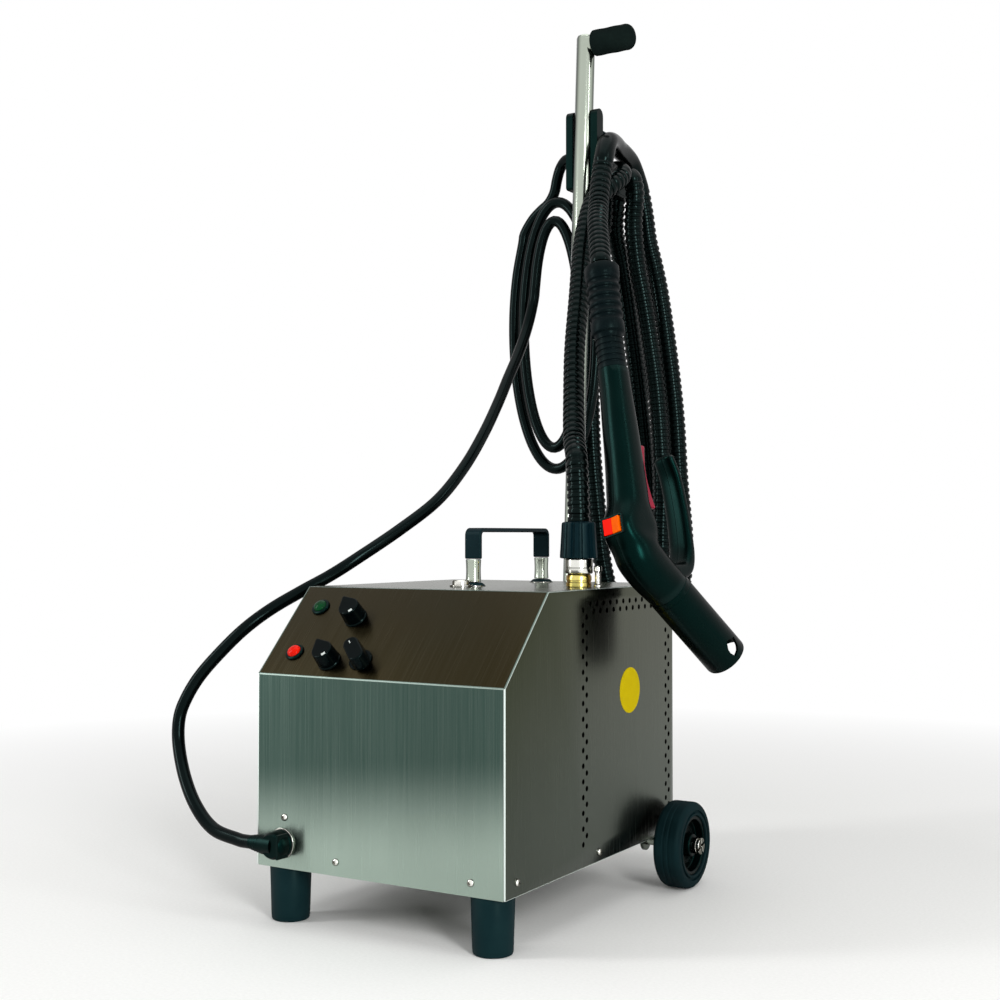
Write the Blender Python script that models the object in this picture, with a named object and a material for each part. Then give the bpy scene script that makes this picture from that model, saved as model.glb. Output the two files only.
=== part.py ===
"""Wheeled steam cleaner with a push post, a hanging steam hose with its gun, and a mains lead.

Metres, +Z up. The housing stands on two front feet and two rear wheels; its front looks
along -Y. Everything is modelled about the middle of the front face on the floor, and the
whole part is then moved so that the origin lies on the floor under the middle of the
object without its hose and lead.
"""
import math

import bmesh
import bpy
from mathutils import Matrix, Vector

# Shared clearances
GAP = 0.0003
OVERRUN = 0.002
RUNNING_GAP = 0.0003

# Housing
HOUSING_WIDTH = 0.280
HOUSING_DEPTH = 0.3575
HOUSING_FLOOR = 0.053
FRONT_FACE_HEIGHT = 0.185
HOUSING_HEIGHT = 0.267
SLOPE_RUN = 0.079
SHEET = 0.0015
TRAY_LIP = 0.013
TOP_FLANGE = 0.014

# Vent holes in the side panels
VENT_RADIUS = 0.0026
VENT_PITCH = 0.015
VENT_ROW_OFFSET = 0.0075
VENT_FRONT_Y = 0.147
VENT_REAR_INSET = 0.019
VENT_LOW_INSET = 0.0225
VENT_TOP_INSET = 0.0145
VENT_SIDES = 4

# Feet
FOOT_X = 0.115
FOOT_TOP_RADIUS = 0.0205
FOOT_SOLE_RADIUS = 0.0185
FOOT_COLLAR_HEIGHT = 0.009
FOOT_COLLAR_STEP = 0.0015
FOOT_SOLE_ROUND = 0.002

# Wheels and axle
AXLE_INSET = 0.0275
WHEEL_RADIUS = 0.045
TYRE_INNER_RADIUS = 0.031
TYRE_WIDTH = 0.030
TYRE_SHOULDER = 0.006
TYRE_SIDE_GROOVE = 0.002
TYRE_GROOVE_WIDTH = 0.003
WHEEL_INNER_X = 0.1475
HUB_WIDTH = 0.026
HUB_WEB = 0.008
HUB_RIM = 0.004
HUB_BOSS_RADIUS = 0.012
AXLE_RADIUS = 0.005
AXLE_NUT_RADIUS = 0.0085
AXLE_NUT_LENGTH = 0.009
AXLE_NUT_SLOT = 0.003
AXLE_NUT_SLOT_DEPTH = 0.0035
AXLE_BRACKET_X = 0.120
AXLE_BRACKET_SHEET = 0.003
AXLE_BRACKET_EAR_RADIUS = 0.011

# Push post and its grip
POST_RADIUS = 0.011
POST_FOOT_RISE = 0.027
POST_FOOT_SET_BACK = 0.018
POST_TOP_Z = 0.957
POST_TOP_SET_BACK = 0.067
POST_BEND_RADIUS = 0.013
POST_STUB = 0.060
GRIP_RADIUS = 0.015
GRIP_START = 0.0165
GRIP_END = 0.068
GRIP_END_ROUND = 0.006
CLAMP_WIDTH = 0.040
CLAMP_HEIGHT = 0.020
CLAMP_LOW_RISE = 0.047
CLAMP_TOP_INSET = 0.035
CLAMP_WALL = 0.005

# Hook bracket on the post
HOOK_DROP = 0.174
HOOK_ARM_X = 0.0155
HOOK_ARM_WIDTH = 0.007
HOOK_ARM_HEIGHT = 0.0145
HOOK_FRONT_REACH = 0.002
HOOK_REAR_REACH = 0.104
HOOK_HORN_WIDTH = 0.016
HOOK_HORN_HEIGHT = 0.090
HOOK_TIP_WIDTH = 0.008
HOOK_TIP_RISE = 0.012
HOOK_BRIDGE_WALL = 0.0055
KEEPER_RADIUS = 0.0015
# The keeper's places are measured from the middle of the post at the foot of the hooks.
KEEPER_ROUTE = [
    (0.0155, 0.0252, 0.0705), (0.0175, 0.0552, 0.0695), (0.0185, 0.0852, 0.0662),
    (0.0190, 0.1117, 0.0565),
]

# Carry handle
HANDLE_FRONT_Y = 0.172
HANDLE_REAR_INSET = 0.0425
HANDLE_WIDTH = 0.019
HANDLE_THICKNESS = 0.0045
HANDLE_RISE = 0.060
HANDLE_LEG_RISE = 0.028
HANDLE_CORNER = 0.008
FERRULE_RADIUS = 0.008
FERRULE_WAIST = 0.0076
WASHER_RADIUS = 0.012
WASHER_HEIGHT = 0.0035

# Steam outlet
OUTLET_X = 0.105
OUTLET_Y = 0.205
OUTLET_BODY_RADIUS = 0.013
OUTLET_BODY_HEIGHT = 0.013
OUTLET_NECK_RADIUS = 0.010
OUTLET_BORE = 0.004
COLLAR_RADIUS = 0.0143
COLLAR_HEIGHT = 0.015
NUT_TOP_RADIUS = 0.0165
NUT_FOOT_RADIUS = 0.0182
NUT_FLANGE = 0.006
NUT_HEIGHT = 0.037
NUT_RIBS = 16
NUT_RIB_DEPTH = 0.0013
RELIEF_X = 0.1235
RELIEF_Y = 0.211
RELIEF_RADIUS = 0.003
RELIEF_HEAD_RADIUS = 0.0042
RELIEF_HEIGHT = 0.021
RELIEF_HEAD_HEIGHT = 0.006
FILLER_X = 0.0
FILLER_Y = 0.148
FILLER_RADIUS = 0.009
FILLER_HEIGHT = 0.007
FILLER_FLANGE_RADIUS = 0.0115
FILLER_FLANGE_HEIGHT = 0.002

# Controls on the slope: across the front, and up the slope from the crease
LAMP_X = -0.1095
LAMP_GREEN_UP_SHARE = 0.7553
LAMP_RED_UP_SHARE = 0.2415
LAMP_RADIUS = 0.0085
LAMP_BEZEL_HEIGHT = 0.003
LAMP_LENS_RADIUS = 0.0062
LAMP_LENS_HEIGHT = 0.0065
KNOB_UPPER_X = -0.060
KNOB_UPPER_UP_SHARE = 0.6499
KNOB_LOWER_X = -0.063
KNOB_LOWER_UP_SHARE = 0.1713
KNOB_BAR_X = -0.0275
KNOB_BAR_UP_SHARE = 0.1976
KNOB_RADIUS = 0.0115
KNOB_SKIRT = 0.005
KNOB_HEIGHT = 0.019
KNOB_GRIP_WIDTH = 0.009
KNOB_POINTER_REACH = 0.017
BAR_KNOB_REACH = 0.0145
BAR_KNOB_WIDTH = 0.012
KNOB_SHAFT_RADIUS = 0.003
KNOB_SHAFT_LENGTH = 0.012
KNOB_TURN_SHARE = 0.375
SWITCH_SIZE = 0.022
SWITCH_DEPTH = 0.020

# Cable gland and mains lead
GLAND_X = -0.1088
GLAND_Z = 0.0768
GLAND_RADIUS = 0.0135
GLAND_REACH = 0.0140
GLAND_ARM_RADIUS = 0.0098
GLAND_ARM_REACH = 0.0285
GLAND_STEM_RADIUS = 0.009
GLAND_STEM_LENGTH = 0.012
CORD_RADIUS = 0.0065
CORD_STEP = 0.026
COIL_STEPS = 51
COIL_TURN_POINTS = 24
COIL_X = -0.0490
COIL_DRIFT = -0.0052
COIL_Z = 0.6223
COIL_INNER_HALF_WIDTH = 0.0282
COIL_OUTER_HALF_WIDTH = 0.0642
COIL_INNER_HALF_HEIGHT = 0.1265
COIL_OUTER_HALF_HEIGHT = 0.1779
COIL_FRONT_Y = 0.4330
COIL_PITCH = 0.0108
COIL_START_DEG = 24
PLUG_RADIUS = 0.019
PLUG_NECK_RADIUS = 0.0095
PLUG_LENGTH = 0.046
PLUG_NECK_LENGTH = 0.018
PLUG_PIN_RADIUS = 0.0024
PLUG_PIN_LENGTH = 0.019
PLUG_PIN_SPACING = 0.019

# Steam hose
HOSE_RADIUS = 0.011
HOSE_ROOT_RADIUS = 0.0084
HOSE_BORE_RADIUS = 0.0055
HOSE_RIB_PITCH = 0.0165
HOSE_BORE_STEP = 0.030
HOSE_SMOOTH_BEND_RADIUS = 0.040

# Steam gun
GUN_BEND = (0.1628, 0.220, 0.3528)
GUN_GRIP_TOP = (0.1165, 0.260, 0.5439)
GUN_NOZZLE_END = (0.2166, 0.320, 0.2457)
GUN_TOP_RADIUS = 0.0155
GUN_WAIST_RADIUS = 0.0195
GUN_BODY_RADIUS = 0.0225
GUN_HEEL = 0.010
GUN_TURN_START = 0.016
GUN_SET_BACK = 0.004
GUN_SPLIT_GAP = 0.0003
GUN_SECTION_SIDES = 16
BARREL_START = 0.052
BARREL_RADIUS = 0.023
BARREL_WALL = 0.003
BARREL_SPIGOT = 0.012
BARREL_SPIGOT_RADIUS = 0.0155
BARREL_WINDOW_WIDTH = 0.014
BARREL_WINDOW_LENGTH = 0.019
BARREL_WINDOW_MARGIN = 0.005
BARREL_WINDOW_TURN_DEG = -75
BARREL_WINDOW_TILT_DEG = 30
TRIGGER_TOP = 0.120
TRIGGER_LENGTH = 0.068
TRIGGER_WIDTH = 0.014
TRIGGER_PROUD = 0.0135
TRIGGER_ROOT = 0.006
TRIGGER_HOLLOW_SHARE = 0.30
TRIGGER_TAPER_SHARE = 0.25
TRIGGER_PIN_RADIUS = 0.003
TRIGGER_SWING_DEG = 10
SWITCH_UP = 0.0255
SWITCH_LENGTH = 0.020
SWITCH_WIDTH = 0.020
SWITCH_HOUSING_REACH = 0.0325
SWITCH_HOUSING_HALF_WIDTH = 0.0205
SWITCH_PROUD = 0.003
SWITCH_ROOT = 0.006
SWITCH_SWING_DEG = 8
BEND_PROTECTOR_LENGTH = 0.121
BEND_PROTECTOR_NECK_RADIUS = 0.0150
BEND_PROTECTOR_NECK = 0.040
BEND_PROTECTOR_RADIUS = 0.0180
BEND_PROTECTOR_TIP_RADIUS = 0.0188
BEND_PROTECTOR_CUFF = 0.014
BEND_PROTECTOR_RIBS = 5
BEND_PROTECTOR_GROOVE = 0.0022
BEND_PROTECTOR_LEAN = 0.0035

# Boiler and steam path inside the housing
BOILER_RADIUS = 0.074
BOILER_REAR_ROOM = 0.0345
BOILER_WALL = 0.002
BOILER_X = -0.012
BOILER_Y = 0.118
BOILER_HEIGHT_SHARE = 0.4457
BOILER_MOUTH_RADIUS = 0.040
BOILER_HEAD_BULGE = 0.014
HEATER_FLANGE_RADIUS = 0.052
HEATER_FLANGE_THICKNESS = 0.006
HEATER_ROD_RADIUS = 0.004
HEATER_ROD_END_ROOM = 0.055
HEATER_ROD_SPACING = 0.034
SADDLE_THICKNESS = 0.004
SADDLE_WIDTH = 0.110
SADDLE_WRAP_SHARE = 0.35
SADDLE_INSET = 0.045
VALVE_WIDTH = 0.026
VALVE_DEPTH = 0.034
VALVE_HEIGHT = 0.030
PIPE_RADIUS = 0.004
PIPE_BOILER_X = 0.030
PRESSURE_SWITCH_X = -0.035
PRESSURE_SWITCH_Y = 0.230
PRESSURE_SWITCH_RADIUS = 0.014
PRESSURE_SWITCH_HEIGHT = 0.028
PRESSURE_SWITCH_STEM = 0.006

# Counts of faces round a turned piece
ROUND_SIDES = 20
SMALL_SIDES = 12
ARC_STEPS = 6

# The lead from the gland to its coil, and its tail over the left hook to the plug
LEAD_ROUTE = [
    (-0.1853, -0.0115, 0.0840), (-0.2119, -0.0080, 0.1030), (-0.2350, 0.0000, 0.1290),
    (-0.2530, 0.0100, 0.1590), (-0.2572, 0.0150, 0.1847), (-0.2525, 0.0200, 0.2050),
    (-0.2428, 0.0300, 0.2281), (-0.2266, 0.0450, 0.2534), (-0.2088, 0.0600, 0.2760),
    (-0.1910, 0.0800, 0.2955), (-0.1665, 0.1000, 0.3140), (-0.1449, 0.1200, 0.3300),
    (-0.1235, 0.1400, 0.3485), (-0.0976, 0.1800, 0.3785), (-0.0760, 0.2200, 0.4105),
    (-0.0670, 0.2600, 0.4480), (-0.0660, 0.3000, 0.4880), (-0.0702, 0.3400, 0.5280),
    (-0.0725, 0.3620, 0.5560), (-0.0755, 0.3840, 0.5830), (-0.0774, 0.4020, 0.6080),
    (-0.0767, 0.4150, 0.6310),
]
TAIL_ROUTE = [
    (-0.0450, 0.4490, 0.8170), (-0.0350, 0.4440, 0.8245), (-0.0240, 0.4415, 0.8240),
    (-0.0140, 0.4415, 0.8150), (-0.0058, 0.4415, 0.8010), (-0.0044, 0.4420, 0.7850),
    (-0.0085, 0.4500, 0.7690), (-0.0190, 0.4600, 0.7560), (-0.0300, 0.4700, 0.7403),
    (-0.0385, 0.4820, 0.7197), (-0.0405, 0.4990, 0.7000), (-0.0380, 0.5190, 0.6810),
    (-0.0320, 0.5390, 0.6670), (-0.0230, 0.5590, 0.6570), (-0.0090, 0.5750, 0.6500),
    (0.0030, 0.5800, 0.6360),
]
PLUG_TOP = (0.0080, 0.5800, 0.6100)

# The hose from the coupling nut, over the right hook in two hanging loops, to the gun
HOSE_ROUTE = [
    (0.0985, 0.2140, 0.4470), (0.0800, 0.2400, 0.4740), (0.0620, 0.2700, 0.5170),
    (0.0465, 0.3000, 0.5750), (0.0355, 0.3300, 0.6360), (0.0252, 0.3600, 0.6976),
    (0.0228, 0.3820, 0.7375), (0.0250, 0.4000, 0.7638), (0.0352, 0.4200, 0.7830),
    (0.0378, 0.4400, 0.7960), (0.0330, 0.4530, 0.8060), (0.0195, 0.4610, 0.8112),
    (0.0035, 0.4690, 0.8065), (0.0000, 0.4740, 0.7850), (-0.0060, 0.4810, 0.7540),
    (-0.0160, 0.4855, 0.7188), (-0.0225, 0.4870, 0.6700), (-0.0245, 0.4850, 0.6100),
    (-0.0240, 0.4820, 0.5470), (-0.0210, 0.4800, 0.4760), (-0.0140, 0.4800, 0.4000),
    (-0.0080, 0.4820, 0.3400), (0.0000, 0.4870, 0.3000), (0.0150, 0.4950, 0.2780),
    (0.0320, 0.5040, 0.2860), (0.0420, 0.5100, 0.3200), (0.0435, 0.5110, 0.3800),
    (0.0430, 0.5100, 0.4500), (0.0415, 0.5100, 0.5430), (0.0385, 0.5090, 0.6100),
    (0.0377, 0.5030, 0.6610), (0.0392, 0.4965, 0.7037), (0.0380, 0.4870, 0.7488),
    (0.0378, 0.4800, 0.7830), (0.0335, 0.4815, 0.8035), (0.0195, 0.4905, 0.8112),
    (0.0034, 0.4990, 0.8068), (0.0005, 0.5035, 0.7830), (-0.0040, 0.5200, 0.7525),
    (-0.0085, 0.5380, 0.7141), (-0.0080, 0.5410, 0.6500), (0.0000, 0.5400, 0.5500),
    (0.0080, 0.5400, 0.4500), (0.0130, 0.5400, 0.3600), (0.0170, 0.5400, 0.3050),
    (0.0290, 0.5400, 0.2720), (0.0450, 0.5400, 0.2660), (0.0600, 0.5400, 0.2820),
    (0.0715, 0.5400, 0.3150), (0.0757, 0.5400, 0.3670), (0.0710, 0.5400, 0.4410),
    (0.0630, 0.5400, 0.5190), (0.0540, 0.5400, 0.5900), (0.0413, 0.5400, 0.6650),
    (0.0340, 0.5400, 0.7047), (0.0284, 0.5380, 0.7394), (0.0250, 0.5360, 0.7684),
    (0.0215, 0.5330, 0.7950), (0.0192, 0.5235, 0.8160), (0.0186, 0.5075, 0.8320),
    (0.0210, 0.4840, 0.8368), (0.0250, 0.4600, 0.8372), (0.0310, 0.4370, 0.8365),
    (0.0370, 0.4150, 0.8330), (0.0415, 0.3980, 0.8260), (0.0440, 0.3860, 0.8100),
    (0.0445, 0.3770, 0.7850), (0.0500, 0.3590, 0.7469), (0.0640, 0.3290, 0.7159),
]

# Worked out from the sizes above
HALF_WIDTH = HOUSING_WIDTH / 2
TOP_Z = HOUSING_FLOOR + HOUSING_HEIGHT
CREASE_Z = HOUSING_FLOOR + FRONT_FACE_HEIGHT
SLOPE_RISE = TOP_Z - CREASE_Z
SLOPE_LENGTH = math.hypot(SLOPE_RUN, SLOPE_RISE)
SLOPE_ANGLE = math.atan2(SLOPE_RISE, SLOPE_RUN)
INNER_HALF_WIDTH = HALF_WIDTH - SHEET - GAP
VENT_REAR_Y = HOUSING_DEPTH - VENT_REAR_INSET
VENT_LOW_Z = HOUSING_FLOOR + VENT_LOW_INSET
VENT_HIGH_Z = TOP_Z - VENT_TOP_INSET
AXLE_Y = HOUSING_DEPTH - AXLE_INSET
CLAMP_LOW_Z = HOUSING_FLOOR + CLAMP_LOW_RISE
CLAMP_HIGH_Z = TOP_Z - CLAMP_TOP_INSET
POST_FOOT_Y = HOUSING_DEPTH + POST_FOOT_SET_BACK
POST_FOOT_Z = HOUSING_FLOOR + POST_FOOT_RISE
POST_TOP_Y = HOUSING_DEPTH + POST_TOP_SET_BACK
HOOK_Z = POST_TOP_Z - HOOK_DROP
HOOK_HORN_TOP_Z = HOOK_Z + HOOK_HORN_HEIGHT
HANDLE_REAR_Y = HOUSING_DEPTH - HANDLE_REAR_INSET
HANDLE_TOP_Z = TOP_Z + HANDLE_RISE
HANDLE_LEG_Z = TOP_Z + HANDLE_LEG_RISE
LAMP_GREEN_UP = SLOPE_LENGTH * LAMP_GREEN_UP_SHARE
LAMP_RED_UP = SLOPE_LENGTH * LAMP_RED_UP_SHARE
KNOB_UPPER_UP = SLOPE_LENGTH * KNOB_UPPER_UP_SHARE
KNOB_LOWER_UP = SLOPE_LENGTH * KNOB_LOWER_UP_SHARE
KNOB_BAR_UP = SLOPE_LENGTH * KNOB_BAR_UP_SHARE
BOILER_LENGTH = HOUSING_DEPTH - BOILER_Y - BOILER_REAR_ROOM
BOILER_Z = HOUSING_FLOOR + HOUSING_HEIGHT * BOILER_HEIGHT_SHARE
HEATER_ROD_LENGTH = BOILER_LENGTH - HEATER_ROD_END_ROOM
POST_LEAN = math.atan2(POST_TOP_Y - POST_FOOT_Y, POST_TOP_Z - POST_FOOT_Z)
OUTLET_SEAT_Z = TOP_Z + GAP
COLLAR_SEAT_Z = OUTLET_SEAT_Z + OUTLET_BODY_HEIGHT + GAP
NUT_SEAT_Z = COLLAR_SEAT_Z + COLLAR_HEIGHT + GAP
HOSE_START = Vector((OUTLET_X, OUTLET_Y, NUT_SEAT_Z + NUT_HEIGHT + GAP))

# Nodes of the hose, the lead and what is on them, which hang free of the object
FREE_NODES = ("steam_hose", "mains_lead", "mains_coil", "mains_tail", "mains_plug", "cable_gland")


def clear_scene():
    for item in list(bpy.data.objects):
        bpy.data.objects.remove(item, do_unlink=True)


def material(name, red, green, blue, roughness, metallic):
    found = bpy.data.materials.get(name)
    if found:
        return found
    made = bpy.data.materials.new(name)
    made.use_nodes = True
    shader = made.node_tree.nodes["Principled BSDF"]
    shader.inputs["Base Color"].default_value = (red, green, blue, 1)
    shader.inputs["Roughness"].default_value = roughness
    shader.inputs["Metallic"].default_value = metallic
    return made


def brushed_steel():
    return material("brushed_steel", 0.55, 0.56, 0.53, 0.34, 1)


def bright_steel():
    return material("bright_steel", 0.78, 0.79, 0.77, 0.16, 1)


def brass():
    return material("brass", 0.78, 0.58, 0.22, 0.25, 1)


def black_rubber():
    return material("black_rubber", 0.018, 0.020, 0.022, 0.75, 0)


def black_plastic():
    return material("black_plastic", 0.016, 0.020, 0.023, 0.42, 0)


def dark_metal():
    return material("dark_metal", 0.10, 0.10, 0.10, 0.5, 1)


def colour_plastic(name, red, green, blue):
    return material(name, red, green, blue, 0.3, 0)


def add_object(name, mesh_data, look, parent, matrix=None):
    item = bpy.data.objects.new(name, mesh_data)
    bpy.context.scene.collection.objects.link(item)
    item.data.materials.append(look)
    if parent:
        item.parent = parent
    if matrix:
        item.matrix_local = matrix
    return item


def add_empty(name, parent, matrix):
    item = bpy.data.objects.new(name, None)
    bpy.context.scene.collection.objects.link(item)
    item.parent = parent
    item.matrix_local = matrix
    return item


def mesh_from(bm, name, smooth_degrees=35):
    bmesh.ops.recalc_face_normals(bm, faces=bm.faces)
    data = bpy.data.meshes.new(name)
    bm.to_mesh(data)
    bm.free()
    data.shade_smooth()
    data.set_sharp_from_angle(angle=math.radians(smooth_degrees))
    return data


def at(x, y, z):
    return Matrix.Translation((x, y, z))


def turned(degrees, axis):
    return Matrix.Rotation(math.radians(degrees), 4, axis)


def arc(centre, radius, start_degrees, end_degrees, steps=ARC_STEPS):
    """Points of an arc in a plane, both ends included."""
    points = []
    for step in range(steps + 1):
        angle = math.radians(start_degrees + (end_degrees - start_degrees) * step / steps)
        points.append((centre[0] + radius * math.cos(angle), centre[1] + radius * math.sin(angle)))
    return points


def lathe_mesh(name, profile, sides=ROUND_SIDES):
    """Solid of revolution about Z from a closed (radius, height) profile.

    A profile that starts and ends at radius zero makes a solid piece; one that keeps
    away from the axis makes a ring.
    """
    bm = bmesh.new()
    rings = []
    for radius, height in profile:
        if radius <= GAP / 10:
            rings.append([bm.verts.new((0, 0, height))])
            continue
        ring = []
        for side in range(sides):
            angle = 2 * math.pi * side / sides
            ring.append(bm.verts.new((radius * math.cos(angle), radius * math.sin(angle), height)))
        rings.append(ring)
    pairs = list(zip(rings, rings[1:]))
    if len(rings[0]) > 1:
        pairs.append((rings[-1], rings[0]))
    for low, high in pairs:
        for side in range(sides):
            after = (side + 1) % sides
            if len(low) == 1 and len(high) > 1:
                bm.faces.new((low[0], high[after], high[side]))
            elif len(high) == 1 and len(low) > 1:
                bm.faces.new((low[side], low[after], high[0]))
            elif len(low) > 1:
                bm.faces.new((low[side], low[after], high[after], high[side]))
    return mesh_from(bm, name)


def flat(data):
    data.shade_flat()
    return data


def prism_mesh(name, outline, low, high):
    """Prism of a closed (x, y) outline between two heights along Z."""
    bm = bmesh.new()
    floor = [bm.verts.new((x, y, low)) for x, y in outline]
    roof = [bm.verts.new((x, y, high)) for x, y in outline]
    bm.faces.new(list(reversed(floor)))
    bm.faces.new(roof)
    for index in range(len(outline)):
        after = (index + 1) % len(outline)
        bm.faces.new((floor[index], floor[after], roof[after], roof[index]))
    return mesh_from(bm, name)


def box_mesh(name, low, high):
    outline = [(low[0], low[1]), (high[0], low[1]), (high[0], high[1]), (low[0], high[1])]
    return prism_mesh(name, outline, low[2], high[2])


def side_on(x=0.0):
    """Frame whose local x, y and z are the world's Y, Z and X, so an outline is a side view."""
    return Matrix(((0, 0, 1, x), (1, 0, 0, 0), (0, 1, 0, 0), (0, 0, 0, 1)))


def along(start, end):
    """Frame at start whose local z points to end."""
    direction = (Vector(end) - Vector(start)).normalized()
    return Matrix.Translation(start) @ direction.to_track_quat("Z", "Y").to_matrix().to_4x4()


def hide_cutter(item):
    item.hide_render = True
    item.display_type = "WIRE"
    return item


def boolean(target, other, operation):
    hide_cutter(other)
    modifier = target.modifiers.new(other.name, "BOOLEAN")
    modifier.operation = operation
    modifier.solver = "EXACT"
    modifier.object = other


def cut(target, other):
    boolean(target, other, "DIFFERENCE")


def fuse(target, other):
    boolean(target, other, "UNION")


def cylinder_cutter(name, parent, radius, low, high, matrix, sides=ROUND_SIDES):
    data = lathe_mesh(name, [(0, low), (radius, low), (radius, high), (0, high)], sides)
    return add_object(name, data, dark_metal(), parent, matrix)


def smooth_route(points, step):
    """Even points on a smooth curve through the given ones."""
    route = [Vector(point) for point in points]
    padded = [2 * route[0] - route[1]] + route + [2 * route[-1] - route[-2]]
    fine = []
    parts = 16
    for index in range(len(route) - 1):
        before, start, end, after = padded[index:index + 4]
        for part in range(parts):
            share = part / parts
            fine.append(0.5 * (
                2 * start
                + (end - before) * share
                + (2 * before - 5 * start + 4 * end - after) * share ** 2
                + (3 * start - before - 3 * end + after) * share ** 3
            ))
    fine.append(route[-1])
    return even_points(fine, step)


def route_between(points, step):
    """Even points on a smooth curve whose first and last stretches are straight as given."""
    return [Vector(points[0])] + smooth_route(points[1:-1], step) + [Vector(points[-1])]


def route_length(points):
    return sum((after - before).length for before, after in zip(points, points[1:]))


def even_points(fine, step):
    count = max(2, round(route_length(fine) / step))
    spacing = route_length(fine) / count
    found = [fine[0]]
    travelled = 0.0
    for before, after in zip(fine, fine[1:]):
        length = (after - before).length
        while len(found) < count and travelled + length >= spacing * len(found):
            share = (spacing * len(found) - travelled) / length
            found.append(before.lerp(after, share))
        travelled += length
    found.append(fine[-1])
    return found


def tube_object(name, points, radii, resolution, look, parent):
    """Tube along points with a radius at each, as a filled curve."""
    data = bpy.data.curves.new(name, "CURVE")
    data.dimensions = "3D"
    data.bevel_depth = 1
    data.bevel_resolution = resolution
    data.use_fill_caps = True
    data.twist_mode = "MINIMUM"
    data.resolution_u = 1
    data.render_resolution_u = 0
    spline = data.splines.new("POLY")
    spline.points.add(len(points) - 1)
    for slot, point, radius in zip(spline.points, points, radii):
        slot.co = (*point, 1)
        slot.radius = radius
    return add_object(name, data, look, parent)


def plain_tube(name, points, radius, resolution, look, parent):
    return tube_object(name, points, [radius] * len(points), resolution, look, parent)


def tube_as_mesh(item, name, parent):
    """The same tube as a mesh, so that a Boolean can cut it."""
    bpy.context.view_layer.update()
    graph = bpy.context.evaluated_depsgraph_get()
    bm = bmesh.new()
    bm.from_mesh(bpy.data.meshes.new_from_object(item.evaluated_get(graph)))
    bmesh.ops.remove_doubles(bm, verts=bm.verts, dist=GAP / 100)
    look = item.data.materials[0]
    bpy.data.objects.remove(item, do_unlink=True)
    return add_object(name, mesh_from(bm, name), look, parent)


def least_gap(points, diameter, skipped_length):
    """Least distance between far apart stretches of a tube's own surface."""
    travelled = [0.0]
    for before, after in zip(points, points[1:]):
        travelled.append(travelled[-1] + (after - before).length)
    least = math.inf
    for first in range(len(points)):
        for second in range(first + 1, len(points)):
            if travelled[second] - travelled[first] < skipped_length:
                continue
            least = min(least, (points[second] - points[first]).length - diameter)
    return least


def side_outline():
    return [
        (0, HOUSING_FLOOR), (HOUSING_DEPTH, HOUSING_FLOOR), (HOUSING_DEPTH, TOP_Z),
        (SLOPE_RUN, TOP_Z), (0, CREASE_Z),
    ]


def vent_places():
    """Centres (y, z) of the vent holes: two staggered columns at each side and two rows on top."""
    places = []
    count = int((VENT_HIGH_Z - VENT_LOW_Z) / VENT_PITCH)
    for column_y in (VENT_FRONT_Y, VENT_REAR_Y):
        for row in range(count + 1):
            places.append((column_y, VENT_LOW_Z + row * VENT_PITCH))
        for row in range(count):
            middle = VENT_LOW_Z + VENT_ROW_OFFSET + row * VENT_PITCH
            places.append((column_y + VENT_ROW_OFFSET, middle))
    across = round((VENT_REAR_Y - VENT_FRONT_Y) / VENT_PITCH)
    pitch = (VENT_REAR_Y - VENT_FRONT_Y) / across
    for row in range(1, across):
        places.append((VENT_FRONT_Y + row * pitch, VENT_HIGH_Z))
    for row in range(1, across - 1):
        places.append((VENT_FRONT_Y + (row + 0.5) * pitch, VENT_HIGH_Z - VENT_ROW_OFFSET))
    return places


def vent_cutter(name, parent, low, high):
    bm = bmesh.new()
    for y, z in vent_places():
        floor = []
        roof = []
        for side in range(VENT_SIDES):
            angle = 2 * math.pi * (side + 0.5) / VENT_SIDES
            spot = (y + VENT_RADIUS * math.cos(angle), z + VENT_RADIUS * math.sin(angle))
            floor.append(bm.verts.new((*spot, low)))
            roof.append(bm.verts.new((*spot, high)))
        bm.faces.new(list(reversed(floor)))
        bm.faces.new(roof)
        for side in range(VENT_SIDES):
            after = (side + 1) % VENT_SIDES
            bm.faces.new((floor[side], floor[after], roof[after], roof[side]))
    return add_object(name, mesh_from(bm, name), dark_metal(), parent, side_on())


def make_side_panels(root):
    for label, low in (("left", -HALF_WIDTH), ("right", HALF_WIDTH - SHEET)):
        name = f"side_panel_{label}"
        data = prism_mesh(name, side_outline(), low, low + SHEET)
        panel = add_object(name, flat(data), brushed_steel(), root, side_on())
        cut(panel, vent_cutter(f"vent_cutter_{label}", root, low - OVERRUN, low + SHEET + OVERRUN))


def bent_sheet(points, thickness):
    """Closed outline of a bent sheet whose outer side follows points, its inner side offset."""
    offsets = []
    for index, point in enumerate(points):
        here = Vector(point)
        into = here - Vector(points[max(index - 1, 0)])
        onward = Vector(points[min(index + 1, len(points) - 1)]) - here
        sides = [Vector((run.y, -run.x)).normalized() for run in (into, onward) if run.length > 0]
        normal = sum(sides, Vector((0, 0)))
        normal *= thickness / normal.dot(sides[0])
        offsets.append(tuple(here + normal))
    return list(points) + list(reversed(offsets))


def slope_frame(across, up, lift=0.0):
    """Frame on the control slope: local x across, y up the slope, z out of it."""
    lean = Matrix.Rotation(SLOPE_ANGLE, 4, "X")
    return at(across, 0, CREASE_Z) @ lean @ at(0, up, lift)


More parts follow.
